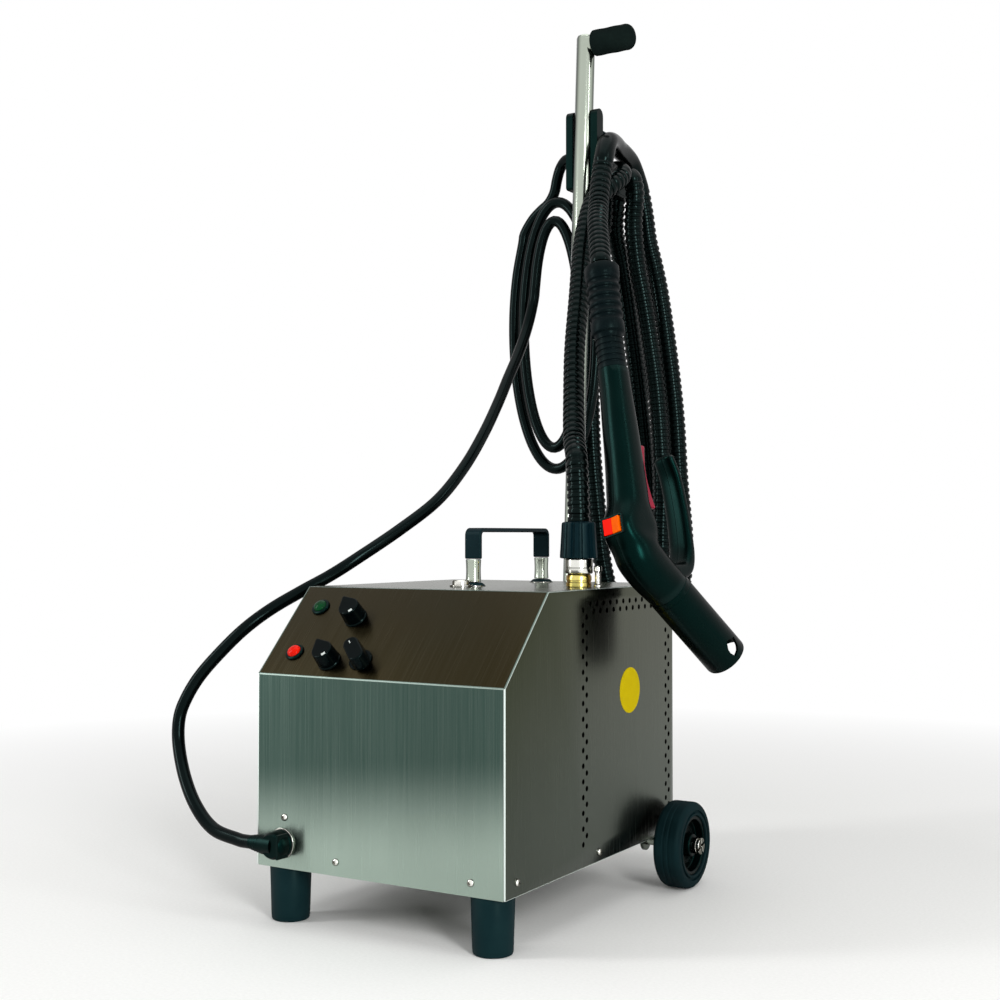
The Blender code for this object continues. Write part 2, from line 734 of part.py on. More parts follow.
def make_front_panel(root):
    outer = [
        (0, HOUSING_FLOOR), (0, CREASE_Z), (SLOPE_RUN, TOP_Z),
        (SLOPE_RUN + TOP_FLANGE / 10, TOP_Z),
    ]
    data = prism_mesh("front_panel", bent_sheet(outer, SHEET), -INNER_HALF_WIDTH, INNER_HALF_WIDTH)
    panel = add_object("front_panel", flat(data), brushed_steel(), root, side_on())
    stem = cylinder_cutter(
        "gland_hole", root, GLAND_STEM_RADIUS + GAP, -OVERRUN, SHEET + OVERRUN,
        at(GLAND_X, 0, GLAND_Z) @ turned(-90, "X"),
    )
    cut(panel, stem)
    for label, across, up in control_places():
        radius = LAMP_LENS_RADIUS if label.startswith("lamp") else KNOB_SHAFT_RADIUS + RUNNING_GAP
        hole = cylinder_cutter(
            f"{label}_hole", root, radius + GAP, -SHEET - OVERRUN, OVERRUN,
            slope_frame(across, up), SMALL_SIDES,
        )
        cut(panel, hole)


def control_places():
    return (
        ("lamp_green", LAMP_X, LAMP_GREEN_UP),
        ("lamp_red", LAMP_X, LAMP_RED_UP),
        ("knob_steam", KNOB_UPPER_X, KNOB_UPPER_UP),
        ("knob_water", KNOB_LOWER_X, KNOB_LOWER_UP),
        ("knob_mode", KNOB_BAR_X, KNOB_BAR_UP),
    )


def make_top_panel(root):
    front_y = SLOPE_RUN + TOP_FLANGE / 10 + GAP
    rear_y = HOUSING_DEPTH - SHEET - GAP
    low = (-INNER_HALF_WIDTH, front_y, TOP_Z - SHEET)
    high = (INNER_HALF_WIDTH, rear_y, TOP_Z)
    panel = add_object("top_panel", flat(box_mesh("top_panel", low, high)), brushed_steel(), root)
    hole = cylinder_cutter(
        "outlet_hole", root, OUTLET_NECK_RADIUS + GAP, -SHEET - OVERRUN, OVERRUN,
        at(OUTLET_X, OUTLET_Y, TOP_Z),
    )
    cut(panel, hole)


def make_rear_panel(root):
    low = (-INNER_HALF_WIDTH, HOUSING_DEPTH - SHEET, HOUSING_FLOOR)
    high = (INNER_HALF_WIDTH, HOUSING_DEPTH, TOP_Z)
    add_object("rear_panel", flat(box_mesh("rear_panel", low, high)), brushed_steel(), root)


def make_base_tray(root):
    front_y = SHEET + GAP
    rear_y = HOUSING_DEPTH - SHEET - GAP
    lip_top = HOUSING_FLOOR + TRAY_LIP
    outer = box_mesh(
        "base_tray", (-INNER_HALF_WIDTH, front_y, HOUSING_FLOOR), (INNER_HALF_WIDTH, rear_y, lip_top)
    )
    tray = add_object("base_tray", flat(outer), brushed_steel(), root)
    inner = box_mesh(
        "tray_hollow",
        (-INNER_HALF_WIDTH + SHEET, front_y + SHEET, HOUSING_FLOOR + SHEET),
        (INNER_HALF_WIDTH - SHEET, rear_y - SHEET, lip_top + OVERRUN),
    )
    cut(tray, add_object("tray_hollow", inner, dark_metal(), root))
    make_axle_ears(root, tray)


def make_feet(root):
    top = HOUSING_FLOOR - GAP
    collar_low = top - FOOT_COLLAR_HEIGHT
    profile = [(0, 0), (FOOT_SOLE_RADIUS - FOOT_SOLE_ROUND, 0), (FOOT_SOLE_RADIUS, FOOT_SOLE_ROUND)]
    profile += [(FOOT_TOP_RADIUS - FOOT_COLLAR_STEP, collar_low), (FOOT_TOP_RADIUS, collar_low)]
    profile += [(FOOT_TOP_RADIUS, top), (0, top)]
    for label, x in (("left", -FOOT_X), ("right", FOOT_X)):
        name = f"foot_{label}"
        place = at(x, FOOT_TOP_RADIUS + GAP, 0)
        add_object(name, lathe_mesh(name, profile), black_rubber(), root, place)


def tyre_profile():
    half = TYRE_WIDTH / 2
    shoulder = TYRE_SHOULDER
    tread = WHEEL_RADIUS - shoulder
    groove_out = (TYRE_INNER_RADIUS + tread) / 2 + TYRE_GROOVE_WIDTH / 2
    groove_in = groove_out - TYRE_GROOVE_WIDTH
    side = [(TYRE_INNER_RADIUS, half), (groove_in, half), (groove_in, half - TYRE_SIDE_GROOVE)]
    side += [(groove_out, half - TYRE_SIDE_GROOVE), (groove_out, half)]
    side += [(x, y) for y, x in [(half - shoulder + b, tread + a) for a, b in round_share(shoulder)]]
    mirrored = [(radius, -height) for radius, height in reversed(side)]
    return list(reversed(side + mirrored))


def round_share(radius, steps=2):
    """Quarter circle of a shoulder as (outward, sideways) offsets, side face first."""
    return [
        (radius * math.sin(math.pi / 2 * step / steps), radius * math.cos(math.pi / 2 * step / steps))
        for step in range(steps + 1)
    ]


def hub_profile():
    half = HUB_WIDTH / 2
    web = HUB_WEB / 2
    rim = TYRE_INNER_RADIUS - GAP
    bore = AXLE_RADIUS + RUNNING_GAP
    upper = [(bore, half), (HUB_BOSS_RADIUS, half), (HUB_BOSS_RADIUS, web)]
    upper += [(rim - HUB_RIM, web), (rim - HUB_RIM, half), (rim, half)]
    lower = [(radius, -height) for radius, height in reversed(upper)]
    return list(reversed(upper + lower))


def nut_profile():
    bore = AXLE_RADIUS + GAP
    depth = AXLE_NUT_LENGTH - AXLE_NUT_SLOT_DEPTH - GAP
    return [
        (0, depth), (bore, depth), (bore, 0), (AXLE_NUT_RADIUS, 0),
        (AXLE_NUT_RADIUS, AXLE_NUT_LENGTH), (0, AXLE_NUT_LENGTH),
    ]


def make_wheels(root):
    tyre = lathe_mesh("tyre", tyre_profile())
    hub = lathe_mesh("hub", hub_profile(), ROUND_SIDES)
    middle = WHEEL_INNER_X + TYRE_WIDTH / 2
    nut_x = middle + HUB_WIDTH / 2 + GAP
    axle_end = nut_x + AXLE_NUT_LENGTH - AXLE_NUT_SLOT_DEPTH - 2 * GAP
    axle = lathe_mesh(
        "wheel_axle",
        [(0, -axle_end), (AXLE_RADIUS, -axle_end), (AXLE_RADIUS, axle_end), (0, axle_end)],
        ROUND_SIDES,
    )
    axle_place = at(0, AXLE_Y, WHEEL_RADIUS) @ turned(90, "Y")
    add_object("wheel_axle", axle, bright_steel(), root, axle_place)
    for label, hand in (("left", -1), ("right", 1)):
        spin = add_empty(
            f"wheel_spin_{label}", root,
            at(hand * middle, AXLE_Y, WHEEL_RADIUS) @ turned(90 * hand, "Y"),
        )
        add_object(f"tyre_{label}", tyre.copy(), black_rubber(), spin)
        add_object(f"wheel_hub_{label}", hub.copy(), black_plastic(), spin)
        nut = lathe_mesh(f"axle_nut_{label}", nut_profile(), SMALL_SIDES)
        place = at(hand * nut_x, AXLE_Y, WHEEL_RADIUS) @ turned(90 * hand, "Y")
        item = add_object(f"axle_nut_{label}", nut, bright_steel(), root, place)
        for index, degrees in enumerate((0, 90)):
            reach = AXLE_NUT_RADIUS + OVERRUN
            slot = box_mesh(
                f"nut_slot_{label}_{index}",
                (-reach, -AXLE_NUT_SLOT / 2, AXLE_NUT_LENGTH - AXLE_NUT_SLOT_DEPTH),
                (reach, AXLE_NUT_SLOT / 2, AXLE_NUT_LENGTH + OVERRUN),
            )
            turn = place @ turned(degrees, "Z")
            cut(item, add_object(f"nut_slot_{label}_{index}", slot, dark_metal(), root, turn))


def make_axle_ears(root, tray):
    """Ears under the tray that hold the axle, welded to it."""
    ear_top = HOUSING_FLOOR + SHEET / 2
    ear = AXLE_BRACKET_EAR_RADIUS
    outline = [(AXLE_Y + ear, ear_top), (AXLE_Y - ear, ear_top)]
    outline += arc((AXLE_Y, WHEEL_RADIUS), ear, 180, 360, 2 * ARC_STEPS)
    for label, hand in (("left", -1), ("right", 1)):
        x = hand * AXLE_BRACKET_X
        data = prism_mesh(f"axle_ear_{label}", outline, x - AXLE_BRACKET_SHEET / 2, x + AXLE_BRACKET_SHEET / 2)
        fuse(tray, add_object(f"axle_ear_{label}", data, dark_metal(), root, side_on()))
    reach = AXLE_BRACKET_X + AXLE_BRACKET_SHEET
    bore = cylinder_cutter(
        "axle_bore", root, AXLE_RADIUS + GAP, -reach, reach,
        at(0, AXLE_Y, WHEEL_RADIUS) @ turned(90, "Y"),
    )
    cut(tray, bore)


def post_y(z):
    return POST_FOOT_Y + math.tan(POST_LEAN) * (z - POST_FOOT_Z)


def post_route():
    """Up the leaning post, round the bend, and out to the right along the stub."""
    foot = Vector((0, POST_FOOT_Y, POST_FOOT_Z))
    corner = Vector((0, POST_TOP_Y, POST_TOP_Z))
    up = (corner - foot).normalized()
    out = Vector((1, 0, 0))
    centre = corner - up * POST_BEND_RADIUS + out * POST_BEND_RADIUS
    points = [foot]
    for step in range(ARC_STEPS + 1):
        angle = math.pi / 2 * step / ARC_STEPS
        points.append(
            centre - out * POST_BEND_RADIUS * math.cos(angle) + up * POST_BEND_RADIUS * math.sin(angle)
        )
    points.append(corner + out * POST_STUB)
    return points


def make_post(root):
    plain_tube("push_post", post_route(), POST_RADIUS, 4, bright_steel(), root)
    bore = POST_RADIUS + GAP
    depth = POST_STUB + GAP
    profile = [(0, depth), (bore, depth), (bore, GRIP_START), (GRIP_RADIUS, GRIP_START)]
    profile += arc((GRIP_RADIUS - GRIP_END_ROUND, GRIP_END - GRIP_END_ROUND), GRIP_END_ROUND, 0, 90, 4)
    profile += [(0, GRIP_END)]
    place = at(0, POST_TOP_Y, POST_TOP_Z) @ turned(90, "Y")
    add_object("push_grip", lathe_mesh("push_grip", profile), black_rubber(), root, place)


def post_cutter(name, root, clearance):
    foot = (0, post_y(0), 0)
    top = (0, post_y(POST_TOP_Z), POST_TOP_Z)
    return cylinder_cutter(name, root, POST_RADIUS + clearance, 0, POST_TOP_Z, along(foot, top))


def make_post_clamps(root):
    """Blocks that hold the post to the rear panel."""
    for label, z in (("lower", CLAMP_LOW_Z), ("upper", CLAMP_HIGH_Z)):
        name = f"post_clamp_{label}"
        low = (-CLAMP_WIDTH / 2, HOUSING_DEPTH + GAP, z - CLAMP_HEIGHT / 2)
        rear = post_y(z) + POST_RADIUS + CLAMP_WALL
        high = (CLAMP_WIDTH / 2, rear, z + CLAMP_HEIGHT / 2)
        block = add_object(name, box_mesh(name, low, high), black_plastic(), root)
        cut(block, post_cutter(f"post_bore_{label}", root, GAP))


def hook_outline():
    """Side view of a hook: horn in front, arm to the rear, upturned tip."""
    front = post_y(HOOK_Z) - HOOK_FRONT_REACH
    horn_rear = front + HOOK_HORN_WIDTH
    rear = front + HOOK_REAR_REACH
    arm_top = HOOK_Z + HOOK_ARM_HEIGHT
    horn_round = HOOK_HORN_WIDTH / 2
    tip_round = HOOK_TIP_WIDTH / 2
    outline = [(front, HOOK_Z), (rear, HOOK_Z)]
    outline += arc((rear - tip_round, arm_top + HOOK_TIP_RISE - tip_round), tip_round, 0, 180)
    outline += [(rear - HOOK_TIP_WIDTH, arm_top), (horn_rear, arm_top)]
    outline += arc((front + horn_round, HOOK_HORN_TOP_Z - horn_round), horn_round, 0, 180)
    return outline


def make_hook_bracket(root):
    """A hook at each side of the post, joined by a bridge that hugs the post from behind."""
    half = HOOK_ARM_WIDTH / 2
    reach = HOOK_ARM_X + half
    rear = post_y(HOOK_Z + HOOK_ARM_HEIGHT) + POST_RADIUS
    bridge = box_mesh(
        "hook_bracket", (-reach + GAP, post_y(HOOK_Z), HOOK_Z),
        (reach - GAP, rear + HOOK_BRIDGE_WALL, HOOK_Z + HOOK_ARM_HEIGHT - GAP),
    )
    bracket = add_object("hook_bracket", bridge, black_plastic(), root)
    for label, hand in (("left", -1), ("right", 1)):
        x = hand * HOOK_ARM_X
        data = prism_mesh(f"hook_{label}", hook_outline(), x - half, x + half)
        fuse(bracket, add_object(f"hook_{label}", data, black_plastic(), root, side_on()))
    cut(bracket, post_cutter("hook_bore", root, GAP))


def make_keeper(root):
    """Thin wire from the right horn over the hose, free at its far end."""
    front = post_y(HOOK_Z) - HOOK_FRONT_REACH + HOOK_HORN_WIDTH + GAP
    foot = Vector((0, post_y(HOOK_Z), HOOK_Z))
    places = [foot + Vector(place) for place in KEEPER_ROUTE]
    start = Vector((places[0].x, front, places[0].z))
    route = [start, start + Vector((0, 2 * KEEPER_RADIUS, 0))] + places
    points = route_between(route, 6 * KEEPER_RADIUS)
    plain_tube("hook_keeper", points, KEEPER_RADIUS, 1, black_rubber(), root)


def handle_outline():
    """Side view of the carry grip: a flat strap bent down at both ends."""
    outer_front = HANDLE_FRONT_Y - HANDLE_THICKNESS / 2
    outer_rear = HANDLE_REAR_Y + HANDLE_THICKNESS / 2
    corner = HANDLE_CORNER
    inner = HANDLE_CORNER - HANDLE_THICKNESS * 0.75
    low_corner = HANDLE_TOP_Z - corner
    outer = [(outer_front, HANDLE_LEG_Z)]
    outer += arc((outer_front + corner, low_corner), corner, 180, 90)
    outer += arc((outer_rear - corner, low_corner), corner, 90, 0)
    outer += [(outer_rear, HANDLE_LEG_Z)]
    inner_top = HANDLE_TOP_Z - HANDLE_THICKNESS
    inner_front = outer_front + HANDLE_THICKNESS
    inner_rear = outer_rear - HANDLE_THICKNESS
    back = [(inner_rear, HANDLE_LEG_Z)]
    back += arc((inner_rear - inner, inner_top - inner), inner, 0, 90, 3)
    back += arc((inner_front + inner, inner_top - inner), inner, 90, 180, 3)
    back += [(inner_front, HANDLE_LEG_Z)]
    return list(reversed(outer + back))


def make_carry_handle(root):
    half = HANDLE_WIDTH / 2
    data = prism_mesh("carry_grip", handle_outline(), -half, half)
    add_object("carry_grip", data, black_plastic(), root, side_on())
    washer_low = TOP_Z + GAP
    washer_top = washer_low + WASHER_HEIGHT
    low = washer_top + GAP
    top = HANDLE_LEG_Z - GAP
    middle = (low + top) / 2
    ferrule = [(0, low), (FERRULE_RADIUS, low), (FERRULE_WAIST, middle), (FERRULE_RADIUS, top), (0, top)]
    washer = [(0, washer_low), (WASHER_RADIUS, washer_low), (FERRULE_RADIUS, washer_top), (0, washer_top)]
    for label, y in (("front", HANDLE_FRONT_Y), ("rear", HANDLE_REAR_Y)):
        name = f"carry_ferrule_{label}"
        add_object(name, lathe_mesh(name, ferrule, SMALL_SIDES), bright_steel(), root, at(0, y, 0))
        name = f"carry_washer_{label}"
        add_object(name, lathe_mesh(name, washer, SMALL_SIDES), black_rubber(), root, at(0, y, 0))


def ribbed_ring(radius):
    """Outline of the nut's grip: flat ribs with grooves between them."""
    points = []
    for rib in range(NUT_RIBS):
        start = 2 * math.pi * rib / NUT_RIBS
        for share, reach in ((0.05, radius), (0.60, radius), (0.72, radius - NUT_RIB_DEPTH),
                             (0.93, radius - NUT_RIB_DEPTH)):
            angle = start + share * 2 * math.pi / NUT_RIBS
            points.append((reach * math.cos(angle), reach * math.sin(angle)))
    return points


def make_outlet(root):
    neck_low = TOP_Z - SHEET - OUTLET_NECK_RADIUS
    body_top = OUTLET_SEAT_Z + OUTLET_BODY_HEIGHT
    bead = OUTLET_BODY_HEIGHT / 4
    profile = [
        (OUTLET_BORE, neck_low), (OUTLET_NECK_RADIUS, neck_low), (OUTLET_NECK_RADIUS, OUTLET_SEAT_Z),
        (OUTLET_BODY_RADIUS, OUTLET_SEAT_Z), (OUTLET_BODY_RADIUS, body_top - bead),
        (OUTLET_BODY_RADIUS - bead / 2, body_top), (OUTLET_BORE, body_top),
    ]
    place = at(OUTLET_X, OUTLET_Y, 0)
    add_object("outlet_body", lathe_mesh("outlet_body", profile), brass(), root, place)
    collar_top = COLLAR_SEAT_Z + COLLAR_HEIGHT
    rim = COLLAR_HEIGHT / 8
    collar = [
        (OUTLET_BORE, COLLAR_SEAT_Z), (COLLAR_RADIUS - rim, COLLAR_SEAT_Z),
        (COLLAR_RADIUS, COLLAR_SEAT_Z + rim), (COLLAR_RADIUS, collar_top - rim),
        (COLLAR_RADIUS - rim, collar_top), (OUTLET_BORE, collar_top),
    ]
    add_object("outlet_collar", lathe_mesh("outlet_collar", collar), bright_steel(), root, place)


def make_coupling_nut(root):
    turn = add_empty("coupling_turn", root, at(OUTLET_X, OUTLET_Y, NUT_SEAT_Z))
    bm = bmesh.new()
    levels = (
        (NUT_FLANGE, NUT_FOOT_RADIUS - NUT_RIB_DEPTH / 2),
        (NUT_HEIGHT - NUT_RIB_DEPTH, NUT_TOP_RADIUS),
        (NUT_HEIGHT, NUT_TOP_RADIUS - NUT_RIB_DEPTH),
    )
    rings = []
    for height, radius in levels:
        rings.append([bm.verts.new((x, y, height)) for x, y in ribbed_ring(radius)])
    count = len(rings[0])
    for low, high in zip(rings, rings[1:]):
        for side in range(count):
            after = (side + 1) % count
            bm.faces.new((low[side], low[after], high[after], high[side]))
    bm.faces.new(list(reversed(rings[0])))
    bm.faces.new(rings[-1])
    nut = add_object("coupling_nut", mesh_from(bm, "coupling_nut", 25), black_plastic(), turn)
    flange = [(0, 0), (NUT_FOOT_RADIUS, 0), (NUT_FOOT_RADIUS, NUT_FLANGE + GAP), (0, NUT_FLANGE + GAP)]
    fuse(nut, add_object("nut_flange", lathe_mesh("nut_flange", flange), black_plastic(), turn))
    cut(nut, cylinder_cutter("nut_bore", turn, OUTLET_BORE, -OVERRUN, NUT_HEIGHT + OVERRUN,
                             Matrix.Identity(4), SMALL_SIDES))


def make_top_fittings(root):
    seat = TOP_Z + GAP
    head_low = seat + RELIEF_HEIGHT - RELIEF_HEAD_HEIGHT
    pin = [(0, seat), (RELIEF_HEAD_RADIUS, seat), (RELIEF_RADIUS, seat + RELIEF_RADIUS)]
    pin += [(RELIEF_RADIUS, head_low), (RELIEF_HEAD_RADIUS, head_low + RELIEF_RADIUS / 3)]
    pin += [(RELIEF_HEAD_RADIUS, seat + RELIEF_HEIGHT), (0, seat + RELIEF_HEIGHT)]
    data = lathe_mesh("relief_pin", pin, SMALL_SIDES)
    add_object("relief_pin", data, bright_steel(), root, at(RELIEF_X, RELIEF_Y, 0))
    flange_top = seat + FILLER_FLANGE_HEIGHT
    cap = [(0, seat), (FILLER_FLANGE_RADIUS, seat), (FILLER_FLANGE_RADIUS, flange_top)]
    cap += [(FILLER_RADIUS, flange_top), (FILLER_RADIUS, seat + FILLER_HEIGHT * 0.8)]
    cap += [(FILLER_RADIUS * 0.8, seat + FILLER_HEIGHT), (0, seat + FILLER_HEIGHT)]
    data = lathe_mesh("filler_cap", cap, ROUND_SIDES)
    add_object("filler_cap", data, bright_steel(), root, at(FILLER_X, FILLER_Y, 0))


def make_lamps(root):
    looks = {
        "lamp_green": colour_plastic("lamp_green", 0.02, 0.25, 0.06),
        "lamp_red": colour_plastic("lamp_red", 0.75, 0.05, 0.03),
    }
    for label, across, up in control_places()[:2]:
        place = slope_frame(across, up)
        bore = LAMP_LENS_RADIUS + GAP
        bezel = [
            (bore, GAP), (LAMP_RADIUS, GAP), (LAMP_RADIUS, LAMP_BEZEL_HEIGHT / 2),
            ((LAMP_RADIUS + bore) / 2, LAMP_BEZEL_HEIGHT), (bore, LAMP_BEZEL_HEIGHT),
        ]
        name = f"{label}_bezel"
        add_object(name, lathe_mesh(name, bezel, ROUND_SIDES), black_plastic(), root, place)
        dome = LAMP_LENS_HEIGHT - LAMP_BEZEL_HEIGHT
        lens = [(0, -SHEET - dome), (LAMP_LENS_RADIUS, -SHEET - dome), (LAMP_LENS_RADIUS, LAMP_BEZEL_HEIGHT)]
        for step in range(1, ARC_STEPS // 2 + 1):
            angle = math.pi / 2 * step / (ARC_STEPS // 2)
            lens.append((LAMP_LENS_RADIUS * math.cos(angle), LAMP_BEZEL_HEIGHT + dome * math.sin(angle)))
        name = f"{label}_lens"
        add_object(name, lathe_mesh(name, lens, SMALL_SIDES), looks[label], root, place)


def pointer_outline():
    """Pointer grip seen from above: round tail and a narrow nose."""
    half = KNOB_GRIP_WIDTH / 2
    tail = arc((0, -(KNOB_RADIUS - half)), half, 180, 360)
    return tail + [(half, KNOB_RADIUS * 0.6), (half / 3, KNOB_POINTER_REACH), (-half / 3, KNOB_POINTER_REACH),
                   (-half, KNOB_RADIUS * 0.6)]


def bar_outline():
    half = BAR_KNOB_WIDTH / 2
    straight = BAR_KNOB_REACH - half
    return arc((0, straight), half, 0, 180) + arc((0, -straight), half, 180, 360)


def make_knobs(root):
    """Knobs on shafts that pass through the slope into the switch bodies behind it."""
    shapes = {"knob_steam": (pointer_outline(), 45), "knob_water": (pointer_outline(), 45),
              "knob_mode": (bar_outline(), 45)}
    for label, across, up in control_places()[2:]:
        outline, rest_degrees = shapes[label]
        turn = add_empty(f"{label}_turn", root, slope_frame(across, up) @ turned(rest_degrees, "Z"))
        skirt_top = GAP + KNOB_SKIRT
        profile = [
            (0, -KNOB_SHAFT_LENGTH), (KNOB_SHAFT_RADIUS, -KNOB_SHAFT_LENGTH), (KNOB_SHAFT_RADIUS, GAP),
            (KNOB_RADIUS, GAP), (KNOB_RADIUS - KNOB_SKIRT / 5, skirt_top), (0, skirt_top),
        ]
        knob = add_object(label, lathe_mesh(label, profile, ROUND_SIDES), black_plastic(), turn)
        grip = prism_mesh(f"{label}_grip", outline, KNOB_SKIRT / 2, KNOB_HEIGHT)
        fuse(knob, add_object(f"{label}_grip", grip, black_plastic(), turn))
        name = label.replace("knob", "switch_body")
        half = SWITCH_SIZE / 2
        front = -SHEET - GAP
        body = add_object(
            name, box_mesh(name, (-half, -half, front - SWITCH_DEPTH), (half, half, front)),
            black_plastic(), root, slope_frame(across, up),
        )
        cut(body, cylinder_cutter(
            f"{name}_bore", root, KNOB_SHAFT_RADIUS + RUNNING_GAP, -KNOB_SHAFT_LENGTH - GAP, OVERRUN,
            slope_frame(across, up), SMALL_SIDES,
        ))


def make_gland(root):
    """Round strain relief on the front face whose arm turns the lead to the left."""
    middle = GLAND_REACH - GLAND_ARM_RADIUS / 3
    place = at(GLAND_X, 0, GLAND_Z) @ turned(90, "X")
    profile = [(0, -GLAND_STEM_LENGTH), (GLAND_STEM_RADIUS, -GLAND_STEM_LENGTH), (GLAND_STEM_RADIUS, GAP)]
    profile += [(GLAND_RADIUS, GAP), (GLAND_RADIUS, middle)]
    profile += [(GLAND_RADIUS * 0.85, GLAND_REACH + GLAND_ARM_RADIUS / 2), (0, GLAND_REACH + GLAND_ARM_RADIUS / 2)]
    gland = add_object("cable_gland", lathe_mesh("cable_gland", profile), black_rubber(), root, place)
    arm = [(0, 0), (GLAND_ARM_RADIUS, 0), (GLAND_ARM_RADIUS, GLAND_ARM_REACH / 2)]
    arm += [(CORD_RADIUS + GAP, GLAND_ARM_REACH), (0, GLAND_ARM_REACH)]
    arm_place = at(GLAND_X, -GLAND_REACH + GLAND_ARM_RADIUS / 4, GLAND_Z) @ turned(-90, "Y")
    data = lathe_mesh("gland_arm", arm, ROUND_SIDES)
    fuse(gland, add_object("gland_arm", data, black_rubber(), root, arm_place))


def coil_points():
    """Hanging hank of the lead: it widens and steps to the rear a little on each turn."""
    points = []
    for index in range(COIL_STEPS + 1):
        share = index / COIL_STEPS
        angle = math.radians(COIL_START_DEG) + 2 * math.pi * index / COIL_TURN_POINTS
        half_width = COIL_INNER_HALF_WIDTH + (COIL_OUTER_HALF_WIDTH - COIL_INNER_HALF_WIDTH) * share
        half_height = COIL_INNER_HALF_HEIGHT + (COIL_OUTER_HALF_HEIGHT - COIL_INNER_HALF_HEIGHT) * share
        points.append(Vector((
            COIL_X + COIL_DRIFT * share - half_width * math.cos(angle),
            COIL_FRONT_Y + COIL_PITCH * index / COIL_TURN_POINTS,
            COIL_Z + half_height * math.sin(angle),
        )))
    straight = 2 * CORD_RADIUS
    first = points[0] - (points[1] - points[0]).normalized() * straight
    last = points[-1] + (points[-1] - points[-2]).normalized() * straight
    return [first] + points + [last]


def make_lead(root):
    coil = coil_points()
    into = (coil[1] - coil[0]).normalized()
    out = (coil[-1] - coil[-2]).normalized()
    gland_face = Vector((GLAND_X - GLAND_ARM_REACH - GAP, -GLAND_REACH + GLAND_ARM_RADIUS / 4, GLAND_Z))
    straight = gland_face - Vector((2 * CORD_RADIUS, 0, 0))
    lead = [gland_face, straight] + [Vector(point) for point in LEAD_ROUTE]
    lead += [coil[0] - into * 2 * CORD_RADIUS, coil[0] - into * GAP]
    lead_points = route_between(lead, CORD_STEP)
    plain_tube("mains_lead", lead_points, CORD_RADIUS, 2, black_rubber(), root)
    plain_tube("mains_coil", coil, CORD_RADIUS, 1, black_rubber(), root)
    plug_top = Vector(PLUG_TOP)
    tail = [coil[-1] + out * GAP, coil[-1] + out * 2 * CORD_RADIUS]
    tail += [Vector(point) for point in TAIL_ROUTE]
    tail += [plug_top + Vector((0, 0, CORD_RADIUS)), plug_top + Vector((0, 0, GAP))]
    tail_points = route_between(tail, CORD_STEP / 2)
    plain_tube("mains_tail", tail_points, CORD_RADIUS, 1, black_rubber(), root)
    whole = route_length(lead_points) + route_length(coil) + route_length(tail_points)
    gap = least_gap(coil, 2 * CORD_RADIUS, 6 * CORD_RADIUS)
    print(f"mains lead {whole:.3f} m, least gap of its coil {gap * 1000:.2f} mm")


def make_plug(root):
    neck_low = -PLUG_NECK_LENGTH
    body_low = neck_low - PLUG_LENGTH
    profile = [
        (0, body_low), (PLUG_RADIUS * 0.92, body_low), (PLUG_RADIUS, body_low + PLUG_LENGTH / 8),
        (PLUG_RADIUS, body_low + PLUG_LENGTH * 0.55), (PLUG_RADIUS * 0.7, neck_low),
        (PLUG_NECK_RADIUS, neck_low + PLUG_NECK_LENGTH / 3), (PLUG_NECK_RADIUS * 0.85, 0), (0, 0),
    ]
    place = Matrix.Translation(PLUG_TOP)
    plug = add_object("mains_plug", lathe_mesh("mains_plug", profile), black_rubber(), root, place)
    for label, hand in (("left", -1), ("right", 1)):
        pin = cylinder_cutter(
            f"plug_pin_{label}", root, PLUG_PIN_RADIUS, body_low - PLUG_PIN_LENGTH, body_low + OVERRUN,
            place @ at(hand * PLUG_PIN_SPACING / 2, 0, 0), SMALL_SIDES // 2,
        )
        fuse(plug, pin)


def gun_frame():
    """Gun frame at its bend: local z runs up the grip, local x towards the nozzle side."""
    bend = Vector(GUN_BEND)
    up = (Vector(GUN_GRIP_TOP) - bend).normalized()
    nozzle = (Vector(GUN_NOZZLE_END) - bend).normalized()
    forward = (nozzle - up * nozzle.dot(up)).normalized()
    side = up.cross(forward)
    rotation = Matrix((forward, side, up)).transposed().to_4x4()
    return Matrix.Translation(bend) @ rotation


def gun_angle():
    """Angle between straight down the grip and the barrel."""
    bend = Vector(GUN_BEND)
    down = (bend - Vector(GUN_GRIP_TOP)).normalized()
    return down.angle((Vector(GUN_NOZZLE_END) - bend).normalized())


